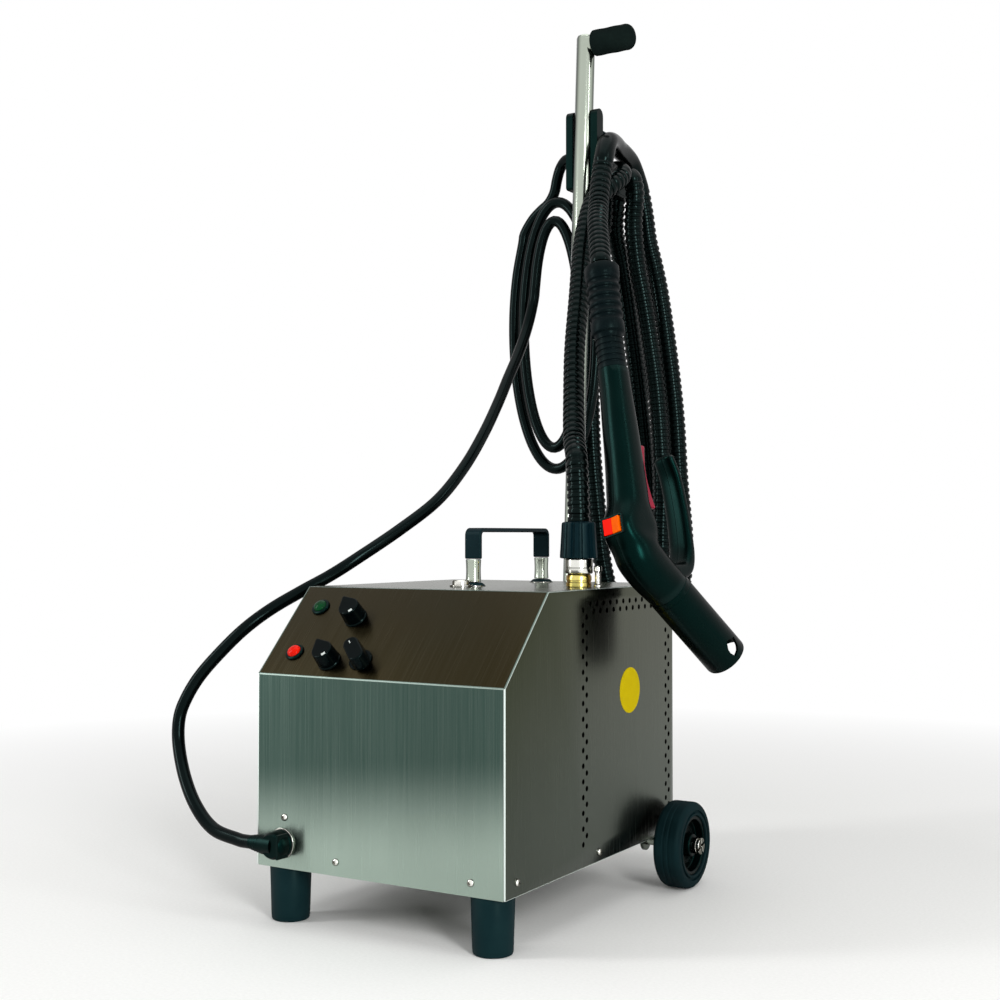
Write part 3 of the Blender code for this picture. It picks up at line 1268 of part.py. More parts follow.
def gun_sections():
    """Sections along the gun.

    Each is its centre (x, z) in the gun's plane, its turn, half depth in that plane,
    half width across it, and how boxy it is (2 is an ellipse).
    """
    grip_length = (Vector(GUN_GRIP_TOP) - Vector(GUN_BEND)).length
    angle = gun_angle()
    sections = []
    for share, depth, width, back_share in (
        (1.00, GUN_TOP_RADIUS, GUN_TOP_RADIUS, 0.0),
        (0.88, GUN_TOP_RADIUS * 1.05, GUN_TOP_RADIUS * 1.02, 0.0),
        (0.72, GUN_WAIST_RADIUS * 0.93, GUN_TOP_RADIUS * 1.08, 0.1),
        (0.52, GUN_WAIST_RADIUS, GUN_TOP_RADIUS * 1.16, 0.3),
        (0.34, GUN_BODY_RADIUS * 0.93, GUN_WAIST_RADIUS, 0.7),
        (0.25, GUN_BODY_RADIUS, GUN_WAIST_RADIUS * 1.04, 1.0),
    ):
        sections.append((-GUN_SET_BACK * back_share, grip_length * share, 0.0, depth, width, 2.3))
    set_back = (SWITCH_HOUSING_REACH - GUN_BODY_RADIUS) / 2
    housing_half = (SWITCH_LENGTH + SWITCH_HOUSING_REACH / 8) / 2
    for hand in (1, -1):
        sections.append((
            -set_back, SWITCH_UP + hand * housing_half / 2, 0.0,
            (SWITCH_HOUSING_REACH + GUN_BODY_RADIUS) / 2, SWITCH_HOUSING_HALF_WIDTH, 3.4,
        ))
    steps = 4
    for step in range(1, steps + 1):
        share = step / steps
        swell = share * (1 - share)
        along_grip = GUN_TURN_START * (1 - share) ** 2
        along_barrel = BARREL_START * share ** 2
        sections.append((
            along_barrel * math.sin(angle) - GUN_HEEL * 2 * swell,
            along_grip - along_barrel * math.cos(angle), angle * share,
            GUN_BODY_RADIUS * (1 + 0.5 * swell), GUN_BODY_RADIUS, 2.0 + swell,
        ))
    return sections


def rounded_ring(depth, width, boxiness):
    """Closed ring of an ellipse that grows corners as its boxiness grows from two."""
    points = []
    for side in range(GUN_SECTION_SIDES):
        angle = 2 * math.pi * side / GUN_SECTION_SIDES
        x = math.copysign(abs(math.cos(angle)) ** (2 / boxiness), math.cos(angle))
        y = math.copysign(abs(math.sin(angle)) ** (2 / boxiness), math.sin(angle))
        points.append((depth * x, width * y))
    return points


def gun_mesh(name, hand):
    """One half of the gun's body, cut along its middle plane."""
    bm = bmesh.new()
    rings = []
    for x, z, turn, depth, width, boxiness in gun_sections():
        rings.append([
            bm.verts.new((x + out * math.cos(turn), across, z + out * math.sin(turn)))
            for out, across in rounded_ring(depth, width, boxiness)
        ])
    for low, high in zip(rings, rings[1:]):
        for side in range(GUN_SECTION_SIDES):
            after = (side + 1) % GUN_SECTION_SIDES
            bm.faces.new((low[side], low[after], high[after], high[side]))
    bm.faces.new(rings[0])
    bm.faces.new(list(reversed(rings[-1])))
    bmesh.ops.recalc_face_normals(bm, faces=bm.faces)
    plane_y = hand * GUN_SPLIT_GAP / 2
    found = bmesh.ops.bisect_plane(
        bm, geom=bm.verts[:] + bm.edges[:] + bm.faces[:], dist=GAP / 100,
        plane_co=(0, plane_y, 0), plane_no=(0, hand, 0), clear_inner=True,
    )
    rim = [item for item in found["geom_cut"] if isinstance(item, bmesh.types.BMEdge)]
    bmesh.ops.holes_fill(bm, edges=rim, sides=0)
    return mesh_from(bm, name, 50)


def trigger_outline(clearance):
    """Side view of the trigger in the gun frame: pivot at the top, finger curve outside."""
    top = TRIGGER_TOP + clearance
    low = TRIGGER_TOP - TRIGGER_LENGTH - clearance
    face = GUN_WAIST_RADIUS - TRIGGER_ROOT - clearance
    proud = GUN_WAIST_RADIUS + TRIGGER_PROUD + clearance
    points = [(face, top), (face, low)]
    for step in range(ARC_STEPS + 1):
        share = step / ARC_STEPS
        bow = 1 - TRIGGER_HOLLOW_SHARE * math.sin(math.pi * (1 - share)) - TRIGGER_TAPER_SHARE * share
        points.append((face + (proud - face) * bow, low + (top - low) * share))
    return points


def gun_side_on():
    """Local x, y and z of an outline are the gun's x, z and -y."""
    return Matrix(((1, 0, 0, 0), (0, 0, -1, 0), (0, 1, 0, 0), (0, 0, 0, 1)))


def make_gun(root):
    place = gun_frame()
    gun = add_empty("gun_place", root, place)
    shells = []
    for label, hand in (("left", 1), ("right", -1)):
        name = f"gun_shell_{label}"
        shells.append(add_object(name, gun_mesh(name, hand), black_plastic(), gun))
    make_trigger(gun, shells)
    make_rocker(gun, shells)
    make_barrel(gun, shells)
    make_bend_protector(gun)


def make_trigger(gun, shells):
    pivot = at(GUN_WAIST_RADIUS, 0, TRIGGER_TOP - TRIGGER_PIN_RADIUS)
    swing = add_empty("trigger_swing", gun, pivot)
    half = TRIGGER_WIDTH / 2
    data = prism_mesh("gun_trigger", trigger_outline(0), -half, half)
    look = colour_plastic("trigger_red", 0.55, 0.03, 0.07)
    add_object("gun_trigger", data, look, swing, pivot.inverted() @ gun_side_on())
    slot_half = half + RUNNING_GAP * 2
    depth = TRIGGER_ROOT + TRIGGER_PROUD
    slot = box_mesh(
        "trigger_slot",
        (GUN_WAIST_RADIUS - depth, -slot_half, TRIGGER_TOP - TRIGGER_LENGTH - TRIGGER_PIN_RADIUS),
        (GUN_BODY_RADIUS * 2, slot_half, TRIGGER_TOP + TRIGGER_PIN_RADIUS),
    )
    cutter = add_object("trigger_slot", slot, dark_metal(), gun)
    for shell in shells:
        cut(shell, cutter)


def rocker_frame():
    """Frame of the rocker on its housing: local z out of the housing, local x down the heel."""
    columns = Matrix(((0, 0, -1, 0), (0, -1, 0, 0), (-1, 0, 0, 0), (0, 0, 0, 1)))
    return at(-SWITCH_HOUSING_REACH, 0, SWITCH_UP) @ columns


def make_rocker(gun, shells):
    pivot = rocker_frame()
    swing = add_empty("rocker_swing", gun, pivot)
    half_length = SWITCH_LENGTH / 2
    half_width = SWITCH_WIDTH / 2
    dip = SWITCH_PROUD / 2
    outline = [(-half_width, -SWITCH_ROOT), (half_width, -SWITCH_ROOT), (half_width, SWITCH_PROUD)]
    outline += [(0, SWITCH_PROUD - dip), (-half_width, SWITCH_PROUD)]
    data = prism_mesh("gun_switch", outline, -half_length, half_length)
    look = colour_plastic("rocker_orange", 0.9, 0.16, 0.02)
    add_object("gun_switch", data, look, swing, side_on())
    room = math.tan(math.radians(SWITCH_SWING_DEG)) * SWITCH_ROOT + GAP * 2
    pocket_low = -SWITCH_ROOT - math.sin(math.radians(SWITCH_SWING_DEG)) * half_width - GAP * 2
    pocket = box_mesh(
        "rocker_pocket",
        (-half_length - GAP, -half_width - room, pocket_low),
        (half_length + GAP, half_width + room, GUN_BODY_RADIUS),
    )
    cutter = add_object("rocker_pocket", pocket, dark_metal(), gun, pivot)
    for shell in shells:
        cut(shell, cutter)


def barrel_frame():
    """Frame at the barrel's start: local z along the barrel, local y across the gun."""
    angle = gun_angle()
    direction = Vector((math.sin(angle), 0, -math.cos(angle)))
    across = Vector((0, 1, 0))
    forward = across.cross(direction)
    rotation = Matrix((forward, across, direction)).transposed().to_4x4()
    return Matrix.Translation(direction * BARREL_START) @ rotation


def make_barrel(gun, shells):
    """Nozzle tube: a spigot in the shells, a thin wall, an open end and a window in the wall."""
    place = barrel_frame()
    length = (Vector(GUN_NOZZLE_END) - Vector(GUN_BEND)).length - BARREL_START
    inner = BARREL_RADIUS - BARREL_WALL
    floor = BARREL_WALL * 2
    profile = [
        (0, -BARREL_SPIGOT), (BARREL_SPIGOT_RADIUS, -BARREL_SPIGOT), (BARREL_SPIGOT_RADIUS, GAP),
        (BARREL_RADIUS, GAP), (BARREL_RADIUS, length - BARREL_WALL / 2),
        (BARREL_RADIUS - BARREL_WALL / 2, length), (inner, length), (inner, floor), (0, floor),
    ]
    data = lathe_mesh("gun_barrel", profile, ROUND_SIDES)
    barrel = add_object("gun_barrel", data, black_plastic(), gun, place)
    half = BARREL_WINDOW_WIDTH / 2
    point = BARREL_WINDOW_LENGTH / 2
    shield = [(-point, half), (0, half), (point, 0), (0, -half), (-point, -half)]
    data = prism_mesh("barrel_window", shield, 0, BARREL_RADIUS + OVERRUN)
    stand = Matrix(((0, 0, 1, 0), (0, 1, 0, 0), (1, 0, 0, 0), (0, 0, 0, 1)))
    centre = at(0, 0, length - BARREL_WINDOW_MARGIN - point)
    window_place = place @ turned(BARREL_WINDOW_TURN_DEG, "Z") @ centre @ stand
    window_place = window_place @ turned(BARREL_WINDOW_TILT_DEG, "Z")
    cut(barrel, add_object("barrel_window", data, dark_metal(), gun, window_place))
    socket = cylinder_cutter(
        "barrel_socket", gun, BARREL_SPIGOT_RADIUS + GAP, -BARREL_SPIGOT - GAP, OVERRUN, place,
        ROUND_SIDES,
    )
    for shell in shells:
        cut(shell, socket)


def protector_shift(height):
    """Sideways set of the flexible bend protector at a height above the grip."""
    return BEND_PROTECTOR_LEAN * (height / BEND_PROTECTOR_LENGTH) ** 2


def make_bend_protector(gun):
    """Ribbed rubber sleeve between the gun and the hose, with a slimmer ribbed neck at the gun."""
    grip_length = (Vector(GUN_GRIP_TOP) - Vector(GUN_BEND)).length
    neck = BEND_PROTECTOR_NECK
    ribbed_from = neck + BEND_PROTECTOR_CUFF
    ribbed = BEND_PROTECTOR_LENGTH - BEND_PROTECTOR_CUFF - ribbed_from
    profile = [(0, GAP), (BEND_PROTECTOR_NECK_RADIUS, GAP)]
    for ring in range(1, 4):
        height = neck * ring / 4
        profile.append((BEND_PROTECTOR_NECK_RADIUS, height))
        profile.append((BEND_PROTECTOR_NECK_RADIUS - BEND_PROTECTOR_GROOVE / 2, height + BEND_PROTECTOR_GROOVE))
        profile.append((BEND_PROTECTOR_NECK_RADIUS, height + 2 * BEND_PROTECTOR_GROOVE))
    profile.append((BEND_PROTECTOR_NECK_RADIUS, neck))
    profile.append((BEND_PROTECTOR_RADIUS, neck + BEND_PROTECTOR_GROOVE))
    profile.append((BEND_PROTECTOR_RADIUS, ribbed_from))
    pitch = ribbed / BEND_PROTECTOR_RIBS
    for rib in range(BEND_PROTECTOR_RIBS):
        low = ribbed_from + rib * pitch
        profile.append((BEND_PROTECTOR_RADIUS - BEND_PROTECTOR_GROOVE, low + pitch * 0.35))
        profile.append((BEND_PROTECTOR_RADIUS, low + pitch * 0.70))
        profile.append((BEND_PROTECTOR_RADIUS, low + pitch))
    profile.append((BEND_PROTECTOR_TIP_RADIUS, BEND_PROTECTOR_LENGTH - BEND_PROTECTOR_CUFF / 2))
    profile.append((BEND_PROTECTOR_TIP_RADIUS, BEND_PROTECTOR_LENGTH))
    profile.append((0, BEND_PROTECTOR_LENGTH))
    data = lathe_mesh("bend_protector", profile, SMALL_SIDES)
    for vertex in data.vertices:
        vertex.co.x += protector_shift(vertex.co.z)
    add_object("bend_protector", data, black_rubber(), gun, at(0, 0, grip_length))


def protector_top():
    """End of the bend protector, and the direction in which the hose leaves it."""
    grip_length = (Vector(GUN_GRIP_TOP) - Vector(GUN_BEND)).length
    frame = gun_frame()
    end = frame @ Vector((protector_shift(BEND_PROTECTOR_LENGTH), 0, grip_length + BEND_PROTECTOR_LENGTH))
    direction = (frame.to_3x3() @ Vector((0, 0, 1))).normalized()
    return end, direction


def hose_centre_line():
    end, direction = protector_top()
    straight = HOSE_RIB_PITCH / 2
    up = Vector((0, 0, 1))
    points = [HOSE_START, HOSE_START + up * straight]
    points += [Vector(point) for point in HOSE_ROUTE]
    points += [end + direction * straight, end + direction * GAP]
    return route_between(points, straight)


def bend_radius(points, index):
    """Radius of the circle through a point and the ones two steps to each side."""
    before = points[max(index - 2, 0)]
    here = points[index]
    after = points[min(index + 2, len(points) - 1)]
    double_area = (here - before).cross(after - before).length
    if double_area < GAP * GAP:
        return math.inf
    return (here - before).length * (after - here).length * (after - before).length / (2 * double_area)


def hose_radii(points):
    """A radius at each point: crest and root in turn, plain on the tight bends and at the ends."""
    radii = []
    ribs = 0
    for index in range(len(points)):
        near_end = min(index, len(points) - 1 - index) < 2
        tight = bend_radius(points, index) < HOSE_SMOOTH_BEND_RADIUS
        if near_end or tight or radii[-1] == HOSE_ROOT_RADIUS:
            radii.append(HOSE_RADIUS)
        else:
            radii.append(HOSE_ROOT_RADIUS)
            ribs += 1
    return radii, ribs


def make_hose(root):
    points = hose_centre_line()
    radii, ribs = hose_radii(points)
    outside = tube_object("hose_outside", points, radii, 2, black_plastic(), root)
    hose = tube_as_mesh(outside, "steam_hose", root)
    bore_points = even_points(points, HOSE_BORE_STEP)
    first = bore_points[0] - (bore_points[1] - bore_points[0]).normalized() * OVERRUN
    last = bore_points[-1] + (bore_points[-1] - bore_points[-2]).normalized() * OVERRUN
    inside = plain_tube(
        "hose_inside", [first] + bore_points + [last], HOSE_BORE_RADIUS, 1, dark_metal(), root
    )
    cut(hose, tube_as_mesh(inside, "hose_bore", root))
    gap = least_gap(points, 2 * HOSE_RADIUS, 8 * HOSE_RADIUS)
    print(f"steam hose {route_length(points):.3f} m, {ribs} ribs, least gap to itself {gap * 1000:.2f} mm")


def make_boiler(root):
    """Boiler shell open at the front, closed by the heater's flange."""
    bulge = BOILER_HEAD_BULGE
    outer = [(BOILER_MOUTH_RADIUS, 0), (BOILER_RADIUS * 0.8, bulge / 3), (BOILER_RADIUS, bulge)]
    outer += [(BOILER_RADIUS, BOILER_LENGTH - bulge), (BOILER_RADIUS * 0.8, BOILER_LENGTH - bulge / 3)]
    outer += [(0, BOILER_LENGTH)]
    wall = BOILER_WALL
    inner = [(0, BOILER_LENGTH - wall), (BOILER_RADIUS * 0.8 - wall, BOILER_LENGTH - bulge / 3 - wall)]
    inner += [(BOILER_RADIUS - wall, BOILER_LENGTH - bulge - wall), (BOILER_RADIUS - wall, bulge + wall)]
    inner += [(BOILER_RADIUS * 0.8 - wall, bulge / 3 + wall), (BOILER_MOUTH_RADIUS, wall)]
    place = at(BOILER_X, BOILER_Y, BOILER_Z) @ turned(-90, "X")
    data = boiler_mesh(outer, inner)
    add_object("boiler_tank", data, bright_steel(), root, place)
    flange_top = -GAP
    flange_low = flange_top - HEATER_FLANGE_THICKNESS
    flange = [(0, flange_low), (HEATER_FLANGE_RADIUS, flange_low), (HEATER_FLANGE_RADIUS, flange_top)]
    flange += [(0, flange_top)]
    heater = add_object("heater_flange", lathe_mesh("heater_flange", flange), bright_steel(), root, place)
    for label, hand in (("left", -1), ("right", 1)):
        rod = cylinder_cutter(
            f"heater_rod_{label}", root, HEATER_ROD_RADIUS, flange_low / 2, HEATER_ROD_LENGTH,
            place @ at(hand * HEATER_ROD_SPACING / 2, HEATER_ROD_SPACING / 2, 0), SMALL_SIDES // 2,
        )
        fuse(heater, rod)


def boiler_mesh(outer, inner):
    """Shell of revolution whose outside and inside both end on the axis at the closed head."""
    bm = bmesh.new()
    sides = ROUND_SIDES
    rings = []
    for radius, height in outer + inner:
        if radius <= 0:
            rings.append([bm.verts.new((0, 0, height))])
            continue
        rings.append([
            bm.verts.new((
                radius * math.cos(2 * math.pi * side / sides),
                radius * math.sin(2 * math.pi * side / sides), height,
            ))
            for side in range(sides)
        ])
    for low, high in list(zip(rings, rings[1:])) + [(rings[-1], rings[0])]:
        if len(low) == 1 and len(high) == 1:
            continue
        for side in range(sides):
            after = (side + 1) % sides
            if len(low) == 1:
                bm.faces.new((low[0], high[after], high[side]))
            elif len(high) == 1:
                bm.faces.new((low[side], low[after], high[0]))
            else:
                bm.faces.new((low[side], low[after], high[after], high[side]))
    return mesh_from(bm, "boiler_tank")


def make_saddles(root):
    """Plates between the tray and the boiler, cut to the boiler's round."""
    low = HOUSING_FLOOR + SHEET + GAP
    top = BOILER_Z - BOILER_RADIUS * (1 - SADDLE_WRAP_SHARE)
    for label, y in (("front", BOILER_Y + SADDLE_INSET), ("rear", BOILER_Y + BOILER_LENGTH - SADDLE_INSET)):
        name = f"boiler_saddle_{label}"
        half = SADDLE_WIDTH / 2
        data = box_mesh(
            name, (BOILER_X - half, y - SADDLE_THICKNESS / 2, low), (BOILER_X + half, y + SADDLE_THICKNESS / 2, top)
        )
        saddle = add_object(name, data, brushed_steel(), root)
        cut(saddle, cylinder_cutter(
            f"saddle_round_{label}", root, BOILER_RADIUS + GAP, -SADDLE_THICKNESS, SADDLE_THICKNESS,
            at(BOILER_X, y, BOILER_Z) @ turned(-90, "X"),
        ))


def make_steam_valve(root):
    """Solenoid valve under the outlet's neck, and the pipe to it from the boiler."""
    top = TOP_Z - SHEET - OUTLET_NECK_RADIUS - GAP
    low = (OUTLET_X - VALVE_WIDTH / 2, OUTLET_Y - VALVE_DEPTH / 2, top - VALVE_HEIGHT)
    high = (OUTLET_X + VALVE_WIDTH / 2, OUTLET_Y + VALVE_DEPTH / 2, top)
    add_object("solenoid_valve", box_mesh("solenoid_valve", low, high), dark_metal(), root)
    drop = math.sqrt(BOILER_RADIUS ** 2 - (PIPE_BOILER_X - BOILER_X) ** 2)
    start = Vector((PIPE_BOILER_X, OUTLET_Y, BOILER_Z + drop + PIPE_RADIUS))
    end = Vector((low[0] - GAP, OUTLET_Y, top - VALVE_HEIGHT / 2))
    lift = Vector((0, 0, 2 * PIPE_RADIUS))
    inward = Vector((4 * PIPE_RADIUS, 0, 0))
    route = [start, start + lift, end - inward, end]
    points = route_between(route, PIPE_RADIUS * 2)
    plain_tube("steam_pipe", points, PIPE_RADIUS, 1, brass(), root)


def make_pressure_switch(root):
    drop = math.sqrt(BOILER_RADIUS ** 2 - (PRESSURE_SWITCH_X - BOILER_X) ** 2)
    seat = BOILER_Z + drop + GAP * 3
    top = seat + PRESSURE_SWITCH_STEM
    stem = PRESSURE_SWITCH_STEM / 2
    profile = [(0, seat), (stem, seat), (stem, top), (PRESSURE_SWITCH_RADIUS, top)]
    profile += [(PRESSURE_SWITCH_RADIUS, top + PRESSURE_SWITCH_HEIGHT), (0, top + PRESSURE_SWITCH_HEIGHT)]
    data = lathe_mesh("pressure_switch", profile, SMALL_SIDES)
    add_object("pressure_switch", data, dark_metal(), root, at(PRESSURE_SWITCH_X, PRESSURE_SWITCH_Y, 0))


def centre_on_floor(root):
    """Move the part so that its origin is under the middle of the object without its free leads."""
    bpy.context.view_layer.update()
    graph = bpy.context.evaluated_depsgraph_get()
    lows = [math.inf] * 2
    highs = [-math.inf] * 2
    for item in bpy.context.scene.objects:
        if item.type == "EMPTY" or item.hide_render or item.name in FREE_NODES:
            continue
        seen = item.evaluated_get(graph)
        data = seen.to_mesh()
        for vertex in data.vertices:
            place = seen.matrix_world @ vertex.co
            for axis in range(2):
                lows[axis] = min(lows[axis], place[axis])
                highs[axis] = max(highs[axis], place[axis])
        seen.to_mesh_clear()
    root.location = (-(lows[0] + highs[0]) / 2, -(lows[1] + highs[1]) / 2, 0)
    bpy.context.view_layer.update()
    print(f"moved by {root.location.x * 1000:.2f}, {root.location.y * 1000:.2f} mm")


def build():
    clear_scene()
    root = bpy.data.objects.new("steam_cleaner", None)
    bpy.context.scene.collection.objects.link(root)
    make_base_tray(root)
    make_front_panel(root)
    make_top_panel(root)
    make_side_panels(root)
    make_rear_panel(root)
    make_feet(root)
    make_wheels(root)
    make_post(root)
    make_post_clamps(root)
    make_hook_bracket(root)
    make_keeper(root)
    make_carry_handle(root)
    make_outlet(root)
    make_coupling_nut(root)
    make_top_fittings(root)
    make_lamps(root)
    make_knobs(root)
    make_gland(root)
    make_lead(root)
    make_plug(root)
    make_gun(root)
    make_hose(root)
    make_boiler(root)
    make_saddles(root)
    make_steam_valve(root)
    make_pressure_switch(root)
    centre_on_floor(root)


build()
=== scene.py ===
"""Looks of a wheeled steam cleaner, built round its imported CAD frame.

The camera, the finishes and the cords come first, then the housing, the wheels, the post with
its hooks, the fittings on top, the lamps and knobs, and the steam gun. Lengths are in metres.
"""
import math

import bmesh
import bpy
from mathutils import Matrix, Vector


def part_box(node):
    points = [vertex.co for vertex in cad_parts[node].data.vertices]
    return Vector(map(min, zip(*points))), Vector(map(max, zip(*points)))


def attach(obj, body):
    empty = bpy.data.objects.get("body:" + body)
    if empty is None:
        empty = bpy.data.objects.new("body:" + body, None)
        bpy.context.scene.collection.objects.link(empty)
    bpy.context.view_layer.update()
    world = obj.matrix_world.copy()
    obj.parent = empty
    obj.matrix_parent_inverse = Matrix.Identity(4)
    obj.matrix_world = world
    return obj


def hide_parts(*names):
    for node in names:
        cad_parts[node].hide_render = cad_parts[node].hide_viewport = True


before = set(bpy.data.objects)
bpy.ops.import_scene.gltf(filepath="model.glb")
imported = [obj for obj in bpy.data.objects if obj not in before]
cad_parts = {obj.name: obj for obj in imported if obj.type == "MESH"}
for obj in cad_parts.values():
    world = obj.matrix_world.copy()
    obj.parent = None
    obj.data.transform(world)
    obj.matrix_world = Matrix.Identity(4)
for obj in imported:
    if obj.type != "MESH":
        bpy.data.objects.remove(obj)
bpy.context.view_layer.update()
bpy.context.scene.view_settings.view_transform = "Standard"

# Places are measured from the floor under the middle of the front face, as in the CAD
# source, and HOME carries them into the part's own frame.
panel_low, panel_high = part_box("front_panel")
HOME = Vector(((panel_low[0] + panel_high[0]) / 2, panel_low[1], 0))

# The photograph's camera
CAMERA_PLACE = (0.7745, -1.069, 0.372)
CAMERA_AZIMUTH = 30.8975
CAMERA_TILT = 1.4355
CAMERA_LENS_MM = 51.1
SENSOR_MM = 36

# Housing, and the places of what it carries
SIDES = (("left", -1), ("right", 1))
GAP = 0.0003
SHEET = 0.0015
HALF_WIDTH = 0.140
INNER_HALF_WIDTH = HALF_WIDTH - SHEET - GAP
DEPTH = 0.3575
FLOOR_Z = 0.053
CREASE_Z = 0.238
TOP_Z = 0.320
TOP_SEAT_Z = TOP_Z + GAP
SLOPE_RUN = 0.079
SLOPE_RISE = TOP_Z - CREASE_Z
SLOPE_ANGLE = math.atan2(SLOPE_RISE, SLOPE_RUN)
TOP_FLANGE = 0.0014
BEND_RADIUS = 0.0024
EDGE_ROUND = 0.0007
VENT_RADIUS = 0.0027
VENT_SIDES = 14
FOOT_PLACE = (0.115, 0.0208)
DISC_PLACE = (0.25, 0.214)
WHEEL_X, AXLE_NUT_X, AXLE_Y, AXLE_Z = 0.1625, 0.1758, 0.330, 0.045
HANDLE_LEGS = (("front", 0.172), ("rear", 0.315))
RELIEF_PIN = (0.1235, 0.211)
FILLER_CAP = (0, 0.148)
LAMP_X = -0.1095
LAMPS = (("green", 0.086), ("red", 0.0275))

# Post
POST_FOOT = (0.3755, 0.080)
POST_TOP = (0.4245, 0.957)
POST_RADIUS = 0.011
CLAMP_HEIGHTS = (0.100, 0.285)
POST_SLOPE = (POST_TOP[0] - POST_FOOT[0]) / (POST_TOP[1] - POST_FOOT[1])

# Steam outlet and hose
OUTLET = (0.105, 0.205)
OUTLET_BORE = 0.004
COLLAR_SEAT_Z = 0.3336
NUT_SEAT_Z = 0.3489
NUT_HEIGHT = 0.037
HOSE_RADIUS = 0.0115
HOSE_ROOT_RADIUS = 0.0103
HOSE_PITCH = 0.008
# One rib: how far along its pitch each ring of points lies, and how much of the swell it has
HOSE_RIB = ((0.0, 0.80), (0.08, 1), (0.44, 1), (0.52, 0.80), (0.60, 0), (0.92, 0))
HOSE_STRAIGHT = 0.00825
HOSE_SMOOTH_ABOVE = 0.797
HOSE_SMOOTHING = 0.006

# Mains lead
CORD_RADIUS = 0.0065
GLAND = (-0.1088, 0.0768)
GLAND_REACH = 0.0140
GLAND_ARM = (0.0098, 0.0285)
PLUG_TOP = Vector((0.0080, 0.5800, 0.6100))
COIL_CENTRE = (-0.0490, 0.4330, 0.6223)
COIL_SPREAD = 0.0052
COIL_STEP = 0.0108
COIL_HALF_WIDTHS = (0.0282, 0.0642)
COIL_HALF_HEIGHTS = (0.1265, 0.1779)
COIL_START_DEGREES = 24

# Gun
GUN_BEND = Vector((0.1628, 0.220, 0.3528))
GUN_GRIP_TOP = Vector((0.1165, 0.260, 0.5439))
GUN_NOZZLE_END = Vector((0.2166, 0.320, 0.2457))
GRIP_LENGTH = (GUN_GRIP_TOP - GUN_BEND).length
PROTECTOR_LENGTH = 0.121
PROTECTOR_LEAN = 0.0035
GRIP_TOP_RADIUS, WAIST_RADIUS, BODY_RADIUS = 0.0155, 0.0195, 0.0225
SWITCH_UP, SWITCH_LENGTH, SWITCH_REACH, SWITCH_HALF_WIDTH = 0.0255, 0.020, 0.0325, 0.0205
TURN_START, BARREL_START, BARREL_RADIUS, BARREL_WALL = 0.016, 0.052, 0.023, 0.003
GUARD_REACH, GUARD_TOP = 0.0760, 0.114

# Centre lines of the cords and of the strap over them, which follow the photograph where it shows them
LEAD_ROUTE = [
    (-0.1853, -0.0115, 0.0840), (-0.2119, -0.0080, 0.1030), (-0.2350, 0.0000, 0.1290),
    (-0.2530, 0.0100, 0.1590), (-0.2572, 0.0150, 0.1847), (-0.2525, 0.0200, 0.2050),
    (-0.2428, 0.0300, 0.2281), (-0.2266, 0.0450, 0.2534), (-0.2088, 0.0600, 0.2760),
    (-0.1910, 0.0800, 0.2955), (-0.1665, 0.1000, 0.3140), (-0.1449, 0.1200, 0.3300),
    (-0.1235, 0.1400, 0.3485), (-0.0976, 0.1800, 0.3785), (-0.0760, 0.2200, 0.4105),
    (-0.0670, 0.2600, 0.4480), (-0.0660, 0.3000, 0.4880), (-0.0702, 0.3400, 0.5280),
    (-0.0730, 0.3650, 0.5560), (-0.0762, 0.3915, 0.5840), (-0.0780, 0.4130, 0.6120),
    (-0.0776, 0.4262, 0.6380),
]
TAIL_ROUTE = [
    (-0.0903, 0.4555, 0.7634), (-0.0788, 0.4555, 0.7733), (-0.0670, 0.4550, 0.7815),
    (-0.0592, 0.4545, 0.7935), (-0.0550, 0.4530, 0.8070), (-0.0500, 0.4510, 0.8190),
    (-0.0430, 0.4480, 0.8265), (-0.0350, 0.4440, 0.8290), (-0.0240, 0.4415, 0.8265),
    (-0.0140, 0.4415, 0.8150), (-0.0058, 0.4415, 0.8010), (-0.0044, 0.4420, 0.7850),
    (-0.0085, 0.4500, 0.7690), (-0.0190, 0.4600, 0.7560), (-0.0300, 0.4700, 0.7403),
    (-0.0385, 0.4820, 0.7197), (-0.0405, 0.4990, 0.7000), (-0.0380, 0.5190, 0.6810),
    (-0.0320, 0.5390, 0.6670), (-0.0230, 0.5590, 0.6570), (-0.0090, 0.5750, 0.6500),
    (0.0030, 0.5800, 0.6360),
]
